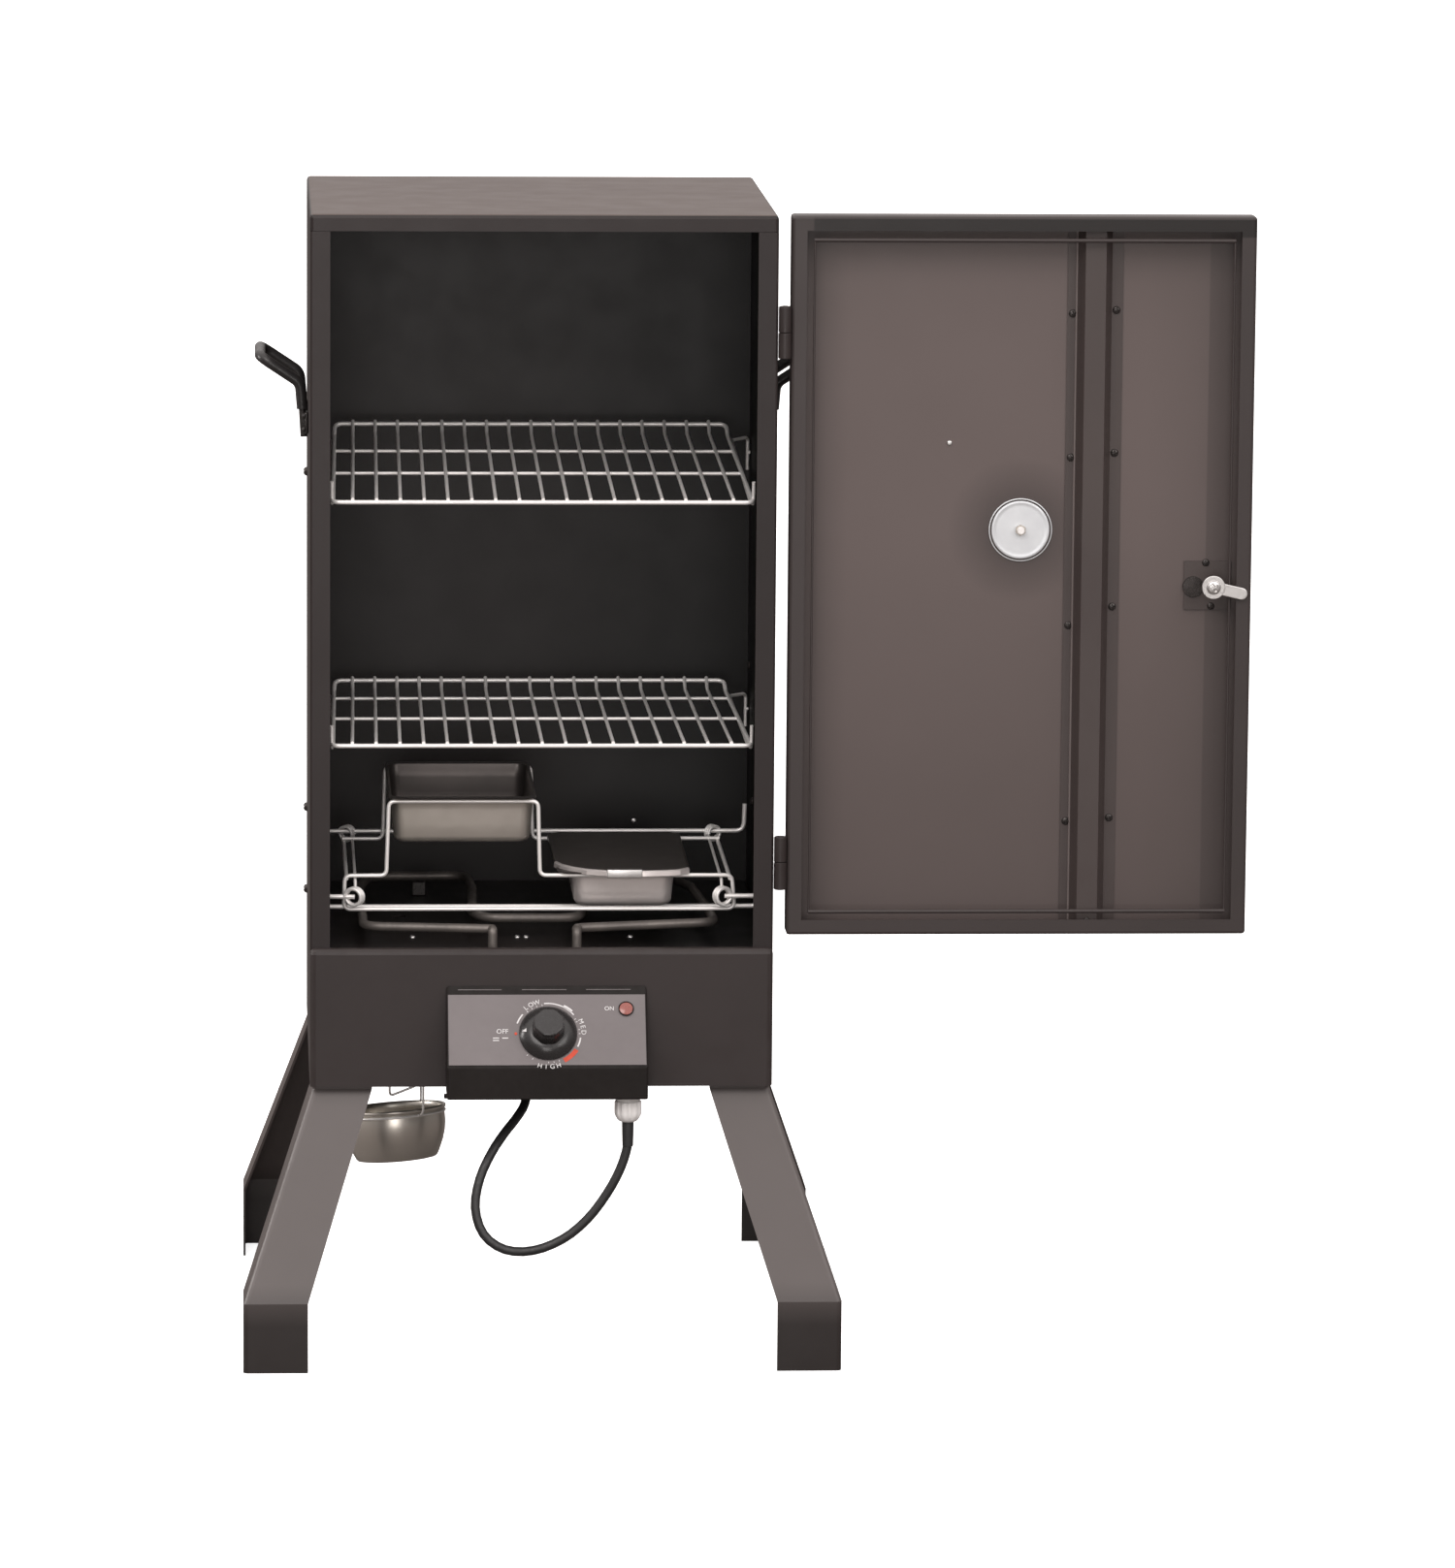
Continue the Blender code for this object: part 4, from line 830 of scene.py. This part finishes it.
def make_handle(side, word):
    def half(reach, low):
        path = [(0.2, reach, 0.769), (0.2014, reach, 0.793)] if low else [(0.2014, reach, 0.793)]
        return path + [(0.2032, reach, 0.815), (0.2372, reach, 0.8375)]

    def whole(low):
        points = half(-0.044, low) + half(0.044, low)[::-1]
        return fillet([(side * x, y, z) for x, y, z in points], 0.012, 8)

    wire_piece(word + "_handle_bar", [(whole(True), 0.003)], BLACK_STEEL, "cabinet",
        (word + "_handle_rod",))
    wire_piece(word + "_handle_sleeve", [(whole(False), 0.0047)], SLEEVE, "cabinet",
        (word + "_handle_grip",), round_steps=6)
    for index, y in enumerate((-0.044, 0.044)):
        near, far = sorted((side * 0.1961, side * 0.1996))
        bm = block(bmesh.new(), (near + CX, y - 0.0072, 0.7715), (far + CX, y + 0.0072, 0.7905), 0.0016, 3)
        mesh_piece("%s_handle_end_%d" % (word, index), bm, BLACK_STEEL, "cabinet", "plain_steel", smooth=40)
        for count, z in enumerate((0.7755, 0.787)):
            screw("%s_handle_screw_%d_%d" % (word, index, count),
                (side * 0.1995, y + 0.0048 * (1 if y > 0 else -1), z), (side, 0, 0), 0.0026, "cabinet",
                BLACK_STEEL, "plain_steel", 0.0022)


make_handle(-1, "left")
make_handle(1, "right")


# Cup, its hanger and the hook under the floor

CUP = (-0.122, 0.0, 0.1765)
CUP_LEAN = about("Y", -4.5) @ about("X", -5.6)


def make_cup():
    outer = mm((0, -45), (18, -45), (31.8, -44.9), (34.4, -44.4), (35.8, -42.8), (38.2, -37.6),
        (41.2, -30.4), (43.4, -22.6), (44.4, -15), (44.4, -8.5), (43.8, -4.6), (44, -3.4), (45.1, -2.8),
        (45.8, -1.5), (45.7, -0.2), (44.9, 0.5), (43.8, 0.2), (43, -1))
    inner = mm((42.8, -5), (43.4, -8.5), (43.4, -15), (42.4, -22.4), (40.3, -30), (37.3, -37),
        (34.8, -42.1), (33.8, -43.4), (31.5, -44), (18, -44.1), (0, -44.1))
    turned("drip_cup_spun", outer + inner, SPUN, "drip_cup", "plain_steel", ("drip_cup",),
        turn=shift(*here(*CUP)) @ CUP_LEAN, smooth=50)


def make_cup_hanger():
    ring = [CUP_LEAN @ Vector(p) for p in circle(0.0446, -0.0052, 60)]
    runs = [(ring + [ring[0]], 0.0011)]
    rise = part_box("floor_pan")[1].z - 0.0022 - CUP[2]
    for way in (-60.6, 61, 180):
        c, s = cos(radians(way)), sin(radians(way))
        start = CUP_LEAN @ Vector((0.0452 * c, 0.0452 * s, -0.0052))
        knee = CUP_LEAN @ Vector((0.05 * c, 0.05 * s, -0.003))
        leg = [start, knee, Vector((0.0512 * c, 0.0512 * s, 0.006)), Vector((0.0516 * c, 0.0516 * s, rise))]
        runs.append((fillet(leg, 0.003), 0.001))
    runs = [([Vector(p) + Vector(CUP) for p in points], radius) for points, radius in runs]
    top = CUP[2] + rise
    vee = [(-0.1262, 0, top), (-0.1252, 0, 0.1862), (-0.103, 0, 0.195), (-0.102, 0, top)]
    runs.append((fillet(vee, 0.003), 0.0011))
    wire_piece("cup_hanger_wire", runs, CHROME, "cabinet", ("drip_cup_hanger",))


make_cup()
make_cup_hanger()


# Control box

FACE_TILT = 34.7
SLOPE_T = Vector((0, sin(radians(FACE_TILT)), cos(radians(FACE_TILT))))
SLOPE_MID = Vector((0, -0.1972, 0.3135)) - SLOPE_T * 0.0681 / 2
KNOB_X, KNOB_ALONG = 0.0045, -0.0036
LAMP_X, LAMP_ALONG = 0.0708, 0.019
PRINT_RISE = 0.00102
GLAND = (0.0725, -0.215)


def slope(x, along):
    """Axes on the sloping face, z straight out of it and y up the slope."""
    spot = SLOPE_MID + SLOPE_T * along
    return shift(*here(x, spot.y, spot.z)) @ about("X", 90 - FACE_TILT)


KNOB_AXES = slope(KNOB_X, KNOB_ALONG)


def make_knob():
    skirt = mm((0, 9.8), (12.8, 9.8), (15, 9.6), (18, 8.6), (21.2, 6.4), (23.8, 3.6), (24.5, 2.6),
        (24.5, 1.6), (24, 1.4), (3.6, 1.4), (3.6, -2.8), (0, -2.8))
    bm = turned_mesh(skirt, 72, closed=False)
    rows = []
    for radius, height in mm((14.2, 9), (13.9, 11), (13.4, 18), (13, 24.6), (12.6, 25.6), (11.8, 26)):
        row = []
        for i in range(8):
            for half in (-0.1, 0.1):
                angle = radians(22.5 + 45 * i) + half
                row.append((radius * cos(angle), radius * sin(angle), height))
        rows.append(row)
    lofted(rows, True, True, bm)
    mesh_piece("knob_moulded", bm, PLASTIC, "knob", "black_plastic", ("thermostat_knob",), turn=KNOB_AXES,
        smooth=25)
    top = mm((-22.2, 0, 6), (-18.5, 1.7, 8.8), (-18.5, -1.7, 8.8))
    mark = lofted([top, [(x, y, z - 0.0008) for x, y, z in top]], True, True)
    mesh_piece("knob_pointer", mark, INK, "knob", "control_face", turn=KNOB_AXES @ shift(0, 0, 0.0003))


def arc_strip(name, radius, width, first, last, paint):
    """A printed arc round the knob, between two angles."""
    steps, rise = 24, 0.00098
    rows = []
    for step in range(steps + 1):
        angle = radians(first + (last - first) * step / steps)
        c, s = cos(angle), sin(angle)
        corners = ((radius, -0.0002), (radius + width, -0.0002), (radius + width, 0.00012),
            (radius, 0.00012))
        rows.append([(r * c, r * s, rise + z) for r, z in corners])
    mesh_piece(name, lofted(rows, True, True), paint, "cabinet", "control_face", turn=KNOB_AXES)


def label(name, words, size, spot, paint, turn=0.0, body="cabinet"):
    """Raised print lying in the plane of spot."""
    curve = bpy.data.curves.new(name, "FONT")
    curve.body = words
    curve.size = size
    curve.extrude = 0.00008
    curve.align_x = "CENTER"
    curve.align_y = "CENTER"
    guide = bpy.data.objects.new(name + "_guide", curve)
    SCENE.collection.objects.link(guide)
    bpy.context.view_layer.update()
    mesh = bpy.data.meshes.new_from_object(guide)
    bpy.data.objects.remove(guide)
    mesh.transform(spot @ about("Z", turn))
    place_piece(bpy.data.objects.new(name, mesh), paint, body)


def ring_word(name, words, radius, start, spacing):
    """Letters set one by one round the knob, clockwise if spacing is positive."""
    for index, letter in enumerate(words):
        angle = start - index * spacing
        spot = KNOB_AXES @ shift(radius * cos(radians(angle)), radius * sin(radians(angle)), PRINT_RISE)
        label("%s_%d" % (name, index), letter, 0.0058, spot, INK, angle - 90 if spacing > 0 else angle + 90)


def make_legends():
    ring_word("word_low", "LOW", 0.03, 128, 10)
    ring_word("word_med", "MED", 0.03, 22, 10)
    ring_word("word_high", "HIGH", 0.0306, 256, -10)
    raised = shift(0, 0, PRINT_RISE)
    label("word_off", "OFF", 0.0058, slope(KNOB_X - 0.0385, KNOB_ALONG + 0.002) @ raised, INK)
    label("word_on", "ON", 0.0052, slope(LAMP_X - 0.0142, LAMP_ALONG + 0.0004) @ raised, INK)
    arc_strip("ring_warm", 0.0274, 0.001, 38, 96, INK)
    arc_strip("ring_thick", 0.0272, 0.0028, 45, 62, INK)
    arc_strip("ring_hot", 0.026, 0.004, -62, -32, RED_INK)
    arc_strip("ring_mid", 0.027, 0.0012, -26, -8, INK)
    arc_strip("ring_low", 0.027, 0.0012, 140, 160, INK)
    ticks = bmesh.new()
    for angle in (100, 110, 120, 130, 30, 24, 8, 0, -70, -80, -90, -120, -132):
        bar(ticks, about("Z", angle) @ shift(0.0266, 0, 0.001), 0.0014, 0.0005, 0.0002)
    for x, along, wide in mm((-44, -4, 5.2), (-44, -6.2, 5.2), (-36.2, -4, 5.2)):
        bar(ticks, shift(x, along, 0.001), wide, 0.0008, 0.0002)
    mesh_piece("ring_ticks", ticks, INK, "cabinet", "control_face", turn=KNOB_AXES)
    dot = bmesh.new()
    stud(dot, 0.0013, 0.0012, 0.0004, shift(-0.0272, 0, 0.00105), 24)
    mesh_piece("off_dot", dot, RED_INK, "cabinet", "control_face", turn=KNOB_AXES)


def make_lamp():
    turn = slope(LAMP_X, LAMP_ALONG)
    bezel = mm((5.9, 1.2), (5.9, 2.4), (6.2, 2.7), (6.6, 2.3), (6.6, 1.2))
    turned("lamp_bezel_ring", bezel, PLASTIC, "cabinet", "black_plastic", ("ready_lamp_bezel",), turn=turn,
        steps=48, closed=True)
    lens = mm((0, 2.7), (4, 2.6), (5.5, 2.2), (5.8, 1.6), (5.8, 1.1), (4.4, 1), (4.4, -8), (0, -8))
    turned("lamp_lens_dome", lens, LENS, "cabinet", "lamp_red", ("ready_lamp_lens",), turn=turn, steps=48)


def make_gland():
    """A white gland: threaded stem, flange washer, waist, and a dome nut with flats and ribs."""
    turn = shift(*here(GLAND[0], GLAND[1], 0))
    bore = 0.0044
    stem = [(bore, 0.24), (0.0072, 0.24)]
    for step in range(7):
        z = 0.2392 - step * 0.0014
        stem += [(0.0074, z), (0.0069, z - 0.0007)]
    stem += [(0.0074, 0.2291), (0.0105, 0.2295), (0.0108, 0.229), (0.0108, 0.2262), (0.0104, 0.2257),
        (0.0095, 0.2253), (0.0094, 0.224), (bore, 0.224)]
    turned("gland_body_turned", stem, NYLON, "cabinet", "white_nylon", ("cable_gland",), turn=turn,
        smooth=30, steps=48, closed=True)
    rows = []
    for radius, z, flat in ((0.01, 0.2246, 0.0), (0.011, 0.2243, 0.6), (0.0112, 0.2235, 1.0),
            (0.0112, 0.215, 1.0), (0.0111, 0.213, 0.9), (0.0104, 0.2112, 0.4), (0.0092, 0.209, 0.1),
            (0.0076, 0.2074, 0.0), (0.0062, 0.2068, 0.0), (0.0047, 0.207, 0.0), (0.0045, 0.209, 0.0)):
        row = []
        for i in range(72):
            angle = 2 * pi * i / 72
            rib = 0.00035 * flat * (1 if (i % 6) < 3 else -1)
            row.append(((radius + rib) * cos(angle), (radius + rib) * sin(angle), z))
        rows.append(row)
    mesh_piece("gland_dome_nut", lofted(rows), NYLON, "cabinet", "white_nylon", turn=turn, smooth=30)
    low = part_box("gland_nut")[0].z
    nut = []
    for radius, z in ((0.0078, low), (0.0108, low), (0.0112, low + 0.0005), (0.0112, low + 0.0035),
            (0.0108, low + 0.004), (0.0078, low + 0.004)):
        nut.append(circle(radius, z, 6))
    mesh_piece("gland_lock_nut", lofted(nut + nut[:1]), NYLON, "cabinet", "white_nylon", ("gland_nut",),
        turn=turn, smooth=30)
    sleeve = mm((4.1, 206.6), (5, 206.6), (5.1, 205.6), (4.9, 196), (4.6, 185.6), (4.1, 185.2))
    turned("lead_boot", sleeve, RUBBER, "cabinet", "cord_rubber", ("cord_strain_relief",), turn=turn,
        smooth=30, steps=40, closed=True)


def make_box_trim():
    """Three thin ribs along the housing's top strip."""
    start, end = Vector((0, -0.1949, 0.3195)), Vector((0, -0.1972, 0.3135))
    up = start - end
    turn = shift(*here(*(start + end) / 2)) @ Matrix.Rotation(atan2(up.z, up.y), 4, "X")
    for index, (x0, x1) in enumerate(mm((-71.1, -34.2), (-16.9, 20.8), (37.3, 75.1))):
        bm = block(bmesh.new(), (x0, -0.0003, -0.0004), (x1, 0.0003, 0.0003), 0.0001)
        mesh_piece("box_slot_%d" % index, bm, FACE, "cabinet", "black_plastic", turn=turn)


def make_box_tabs():
    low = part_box("control_box")[0]
    for word, x in (("left", -0.0796), ("right", 0.0805)):
        bm = block(bmesh.new(), (x - 0.0036 + CX, -0.22, low.z + 0.0002),
            (x + 0.0036 + CX, -0.216, low.z + 0.004), 0.0006)
        bm.transform(shift(0, 0, -0.0022))
        mesh_piece("box_tab_" + word, bm, HOUSING, "cabinet", "black_plastic")


make_knob()
make_box_tabs()
make_legends()
make_lamp()
make_gland()
make_box_trim()


# Door furniture

def door_face(x, z):
    """Axes on the door's skin, z straight out of its outer face."""
    return shift(*here(x, SKIN_Y, z)) @ about("X", -90)


LATCH_X, LATCH_Z = 0.5655, 0.659


def make_thermometer():
    turn = door_face(DIAL_X, DIAL_Z)
    case = mm((0, 6), (22.8, 6), (23.4, 6.4), (23.5, 12.8), (24, 13.2), (25.8, 13.1), (26.7, 12.4),
        (27, 11.2), (26.8, 6), (26.2, 0.4), (3.2, 0.3), (3.2, -8.8), (2.8, -9.2), (0, -9.2))
    turned("dial_case_spun", case, CHROME, "door", "plain_steel", ("thermometer_case",), turn=turn)
    glass = mm((0, 12.5), (12, 12.4), (22.5, 12.1), (23.2, 11.8), (23.2, 11.3), (22.5, 11.2), (0, 11.2))
    turned("dial_window", glass, GLASS, "door", "dial_glass", ("thermometer_glass",), turn=turn)
    face = mm((0, 6.6), (22.6, 6.6), (22.8, 6.4), (22.8, 6), (0, 6))
    turned("dial_card", face, DIAL, "door", "dial_glass", turn=turn)
    ticks = bmesh.new()
    for index in range(31):
        long = 0.004 if index % 5 == 0 else 0.0022
        spot = about("Z", -240 + 10 * index) @ shift(0.021 - long / 2, 0, 0.00668)
        bar(ticks, spot, long, 0.00045, 0.00014)
    mesh_piece("dial_ticks", ticks, SCREW, "door", "black_enamel", turn=turn)
    for index in range(7):
        angle = radians(-240 + 50 * index)
        spot = turn @ shift(0.0148 * cos(angle), 0.0148 * sin(angle), 0.0067)
        label("dial_number_%d" % index, str(100 + 50 * index), 0.0036, spot, SCREW, 180, "door")
    pts = mm((-0.9, -4.8), (0.9, -4.8), (0.55, 0), (0.25, 18.6), (0, 19), (-0.25, 18.6), (-0.55, 0))
    needle = lofted([[(x, y, z) for x, y in pts] for z in (0.0083, 0.0076)], True, True)
    stud(needle, 0.0022, 0.0018, 0.0024, shift(0, 0, 0.008))
    mesh_piece("dial_needle", needle, NEEDLE, "needle", "needle_red", ("thermometer_needle",), turn=turn)
    disc = mm((3.6, -1.6), (23.6, -1.6), (24.4, -1.9), (24.6, -2.3), (24.4, -2.7), (23.8, -3), (22.6, -3.1),
        (22.2, -2.9), (20, -2.9), (3.6, -3))
    turned("dial_back_disc", disc, DISC, "door", "plain_steel", ("thermometer_back_disc",), turn=turn,
        closed=True)
    ring = mm((26, -1.6), (26.8, -1.8), (26.8, -2.4), (26, -2.6))
    turned("dial_back_ring", ring, DISC, "door", "plain_steel", turn=turn, closed=True)
    nut = bmesh.new()
    stud(nut, 0.0048, 0.0048, 0.0034, shift(0, 0, -0.0049), 6)
    bmesh.ops.bevel(nut, geom=list(nut.edges), offset=0.0004, segments=2, affect="EDGES")
    stud(nut, 0.0022, 0.0022, 0.0022, shift(0, 0, -0.0076))
    mesh_piece("dial_back_nut", nut, STEEL, "door", "plain_steel", turn=turn)


def make_latch():
    turn = door_face(LATCH_X, LATCH_Z)
    knob = mm((0, 5.8), (10.4, 5.8), (11.4, 5.4), (12, 4.4), (12, 1.2), (11.6, 0.6), (4.6, 0.6),
        (4.6, -21.8), (0, -21.8))
    bm = turned_mesh(knob, 64, closed=False)
    block(bm, (-0.0038, -0.0188, 0.0044), (0.0038, 0.0188, 0.0238), 0.0024, 4)
    mesh_piece("latch_twist_handle", bm, PLASTIC, "latch", "black_plastic", ("latch_handle",), turn=turn)
    cam = mm((0, -27.6), (9.4, -27.6), (9.8, -27.9), (9.8, -30.3), (9.4, -30.6), (0, -30.6))
    bm = turned_mesh(cam, 64, closed=False)
    lean = about("Z", 13)
    outline = [(0.004, -0.005)]
    for step in range(17):
        angle = radians(-90 + 180 * step / 16)
        outline.append((0.0244 + 0.005 * cos(angle), 0.005 * sin(angle)))
    outline.append((0.004, 0.005))
    rows = []
    for inset, z in mm((0.6, -28), (0, -28.5), (0, -29.8), (0.6, -30.3)):
        row = []
        for x, y in outline:
            row.append(lean @ Vector((x - (inset if x > 0.01 else 0), y * (1 - inset / 0.005), z)))
        rows.append(row)
    lofted(rows, True, True, bm)
    mesh_piece("latch_cam_plate", bm, ZINC, "latch", "plain_steel", ("latch_cam",), turn=turn, smooth=30)
    head = screw_mesh(0.0062, 0.003)
    mesh_piece("latch_cam_screw", head, ZINC, "latch", "plain_steel",
        turn=turn @ shift(0, 0, -0.0304) @ Matrix.Rotation(pi, 4, "X") @ Matrix.Rotation(0.5, 4, "Z"))
    # Painted shadow: a thin dark disc beside the latch stands for the cam's shadow on the plate.
    disc = mm((0, -3), (8.2, -3), (9, -3.4), (8.6, -4.2), (0, -4.4))
    turned("latch_cam_shadow_disc", disc, SCREW, "door", "black_enamel",
        turn=door_face(LATCH_X - 0.0145, LATCH_Z - 0.003), steps=48)
    spots = [(x, SKIN_Y - 0.003, z) for x, z in mm((561.6, 676.5), (566.4, 639.5))]
    screws("latch_plate_screw", spots, (0, -1, 0), 0.0032, "door", height=0.0016)


def make_door_trim():
    floor = SKIN_Y - SHEET
    flange = floor - 0.0014
    rows = ((0.4455, (0.888, 0.766, 0.623, 0.455)), (0.4825, (0.891, 0.77, 0.639, 0.458)))
    spots = [(x, flange, z) for x, heights in rows for z in heights]
    for index, spot in enumerate(spots):
        screw("stiffener_screw_%d" % index, spot, (0, -1, 0), 0.0034, "door", height=0.0018,
            spin=0.3 * index)
    spots = [(0.4633, flange - 0.0144, z) for z in (0.372, 0.961)]
    screws("stiffener_end_screw", spots, (0, -1, 0), 0.0026, "door", height=0.0014)
    stiff_low, stiff_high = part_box("door_stiffener")
    # A thin rod along the stiffener's bend, painted lighter as a painted highlight.
    run = [(0.4487, flange - 0.0004, stiff_low.z + 0.004), (0.4487, flange - 0.0004, stiff_high.z - 0.004)]
    wire_piece("stiffener_fold_highlight", [(run, 0.001)], FOLD_HIGHLIGHT_PAINT, "door")
    screw("badge_rivet_left", (0.3429, floor, 0.778), (0, -1, 0), 0.0024, "door", ZINC, "plain_steel",
        0.0014, cross=False)
    left, right, bottom, top = 0.2262, 0.5795, 0.381, 0.9515
    for name, ends, radius in (("top_hem_bead", ((left - 0.0006, top), (right + 0.0005, top)), 0.0018),
            ("bottom_hem_bead", ((left - 0.0006, bottom), (right + 0.0005, bottom)), 0.0018),
            ("left_hem_bead", ((left, bottom), (left, top)), 0.001),
            ("right_hem_bead", ((right, bottom), (right, top)), 0.001)):
        run = [(x, RIM_Y + 0.001, z) for x, z in ends]
        wire_piece(name, [(run, radius)], DOOR_PAINT, "door")


make_thermometer()
make_latch()
make_door_trim()


# Cabinet screws and rivets

def make_cabinet_screws():
    sides = ((-1, "left"), (1, "right"))
    for index, z in enumerate((0.719, 0.422, 0.349)):
        for side, word in sides:
            screw("%s_wall_screw_%d" % (word, index), (side * (HALF_W - 0.0001), 0.12, z), (side, 0, 0),
                0.0042, "cabinet", height=0.0034)
    for index, (y, z) in enumerate(mm((96, 430), (-84, 392), (158, 742), (158, 542))):
        for side, word in sides:
            screw("%s_inner_screw_%d" % (word, index), (side * (HALF_W - 0.0011), y, z), (-side, 0, 0),
                0.0036, "cabinet", height=0.002)
    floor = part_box("floor_pan")[1].z
    spots = [(x, -0.103, floor - 0.0001) for x in (-0.1075, -0.018, -0.0105, 0.0786)]
    screws("floor_screw", spots, (0, 0, 1), 0.0026, "cabinet", ZINC, "plain_steel", 0.0016)
    screw("back_rivet", (0.0946, HALF_D - 0.0011, 0.3985), (0, -1, 0), 0.0026, "cabinet", ZINC,
        "plain_steel", 0.0016, cross=False)
    spots = [(x, HALF_D, z) for z in (0.26, 0.6, 0.93) for x in (-0.185, 0.185)]
    screws("back_screw", spots, (0, 1, 0), 0.0034, "cabinet", height=0.0016)


def make_hinge_pins():
    for word in ("upper", "lower"):
        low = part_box(word + "_hinge_cabinet_leaf")[0]
        door_low, door_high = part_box(word + "_hinge_door_leaf")
        split = door_low.z
        body = [(0.0, split - 0.0003), (0.005, split - 0.0003), (0.0055, split - 0.0008),
            (0.0055, low.z + 0.0006), (0.005, low.z), (0.0, low.z)]
        spot = shift(*here(HINGE.x, HINGE.y, 0))
        turned(word + "_hinge_barrel", body, ENAMEL, "cabinet", "black_enamel", turn=spot, steps=40)
        cap = [(0.0, door_high.z + 0.0006), (0.0022, door_high.z + 0.0004), (0.003, door_high.z - 0.0004),
            (0.005, door_high.z - 0.0004), (0.0054, door_high.z - 0.0009), (0.0054, split + 0.0006),
            (0.005, split + 0.0001), (0.0, split + 0.0001)]
        turned(word + "_hinge_door_barrel", cap, ENAMEL, "door", "black_enamel", turn=spot, steps=40)


make_cabinet_screws()
make_hinge_pins()


# CAD nodes that stay

PAINTS = (
    (SHELL, "left_side_panel right_side_panel top_panel back_panel floor_pan"),
    (ENAMEL, "front_apron upper_hinge_cabinet_leaf lower_hinge_cabinet_leaf"),
    (ENAMEL, "upper_hinge_door_leaf lower_hinge_door_leaf"),
    (LEG_PAINT, "leg_front_left leg_front_right leg_rear_left leg_rear_right"),
    (STIFF_PAINT, "door_stiffener latch_plate"), (DOOR_PAINT, "door_panel"), (BLACK_STEEL, "element_bracket"),
    (HOUSING, "control_box"), (FACE, "label_plate"), (PLASTIC, "thermostat_body"),
    (ZINC, "cord_hook cord_clip"), (STEEL, "badge_plate"),
)
for paint, node in [(paint, node) for paint, names in PAINTS for node in names.split()]:
    slots = NODES[node].material_slots
    if not slots:
        NODES[node].data.materials.append(paint)
    for slot in slots:
        slot.material = paint
    rounded = NODES[node].modifiers.new("folded_edges", "BEVEL")
    rounded.width = 0.0012 if node == "front_apron" or node.startswith("leg_") else 0.0005
    rounded.segments = 2
    rounded.limit_method = "ANGLE"
    rounded.angle_limit = radians(50)


# Floor, backdrop and light

def seen_mix(tree, seen, unseen):
    """A white backdrop for the camera, and a dimmer room for the light on the object."""
    camera = linked(tree, "LightPath").outputs["Is Camera Ray"]
    return linked(tree, "MixShader", camera, unseen, seen).outputs[0]


def make_floor():
    bm = bmesh.new()
    bmesh.ops.create_grid(bm, x_segments=2, y_segments=2, size=30.0, matrix=shift(0, 0, -0.0002))
    mesh = bpy.data.meshes.new("floor")
    bm.to_mesh(mesh)
    bm.free()
    floor = bpy.data.objects.new("floor", mesh)
    SCENE.collection.objects.link(floor)
    made, tree, shader, place = shader_of("pale_floor")
    tree.links.new(blend_colour(tree, noise_of(tree, place, 0.6), (0.84, 0.84, 0.84), (0.88, 0.88, 0.88)),
        shader.inputs["Base Color"])
    put(shader, Roughness=0.9, Specular_IOR_Level=0.1)
    glow = linked(tree, "Emission", Strength=0.8)
    lit = linked(tree, "AddShader", shader.outputs[0], glow.outputs[0])
    dim = linked(tree, "BsdfDiffuse", Color=(0.15, 0.138, 0.132, 1))
    tree.links.new(seen_mix(tree, lit.outputs[0], dim.outputs[0]),
        tree.nodes["Material Output"].inputs["Surface"])
    mesh.materials.append(made)


def make_world():
    world = bpy.data.worlds.new("studio")
    SCENE.world = world
    world.use_nodes = True
    tree = world.node_tree
    room = tree.nodes["Background"]
    backdrop = linked(tree, "Background", Color=(1, 1, 1, 1), Strength=1.05)
    split = linked(tree, "SeparateXYZ", linked(tree, "TexCoord").outputs["Generated"])
    height = remap(tree, split.outputs["Z"], 0.24, 1.55, 0.1, 0.75)
    behind = remap(tree, split.outputs["Y"], 0.0, 0.45, 0.93, 0.985)
    total = linked(tree, "Math", height, behind)
    tree.links.new(total.outputs[0], room.inputs["Strength"])
    put(room, Color=(1.0, 0.945, 0.925, 1))
    tree.links.new(seen_mix(tree, backdrop.outputs[0], room.outputs[0]),
        tree.nodes["World Output"].inputs["Surface"])


def make_lights():
    for name, place, aim, size, power in (("key", (-1.6, -3.8, 3.6), (0, 0, 0.5), 2.2, 67.0),
            ("fill", (2.6, -4.0, 2.6), (0.1, 0, 0.5), 2.4, 55.0),
            ("low", (-0.4, -5.0, 0.9), (-0.17, 0, 0.45), 1.6, 35.0),
            ("side", (-3.6, 0.3, 1.4), (-0.17, 0, 0.5), 1.2, 40.0)):
        data = bpy.data.lights.new(name, "AREA")
        data.size = size
        data.energy = power
        data.color = (1.0, 0.96, 0.94)
        lamp = bpy.data.objects.new(name, data)
        SCENE.collection.objects.link(lamp)
        lamp.location = place
        lamp.rotation_euler = (Vector(aim) - Vector(place)).to_track_quat("-Z", "Y").to_euler()
    SCENE.view_settings.view_transform = "Standard"


make_floor()
make_world()
make_lights()
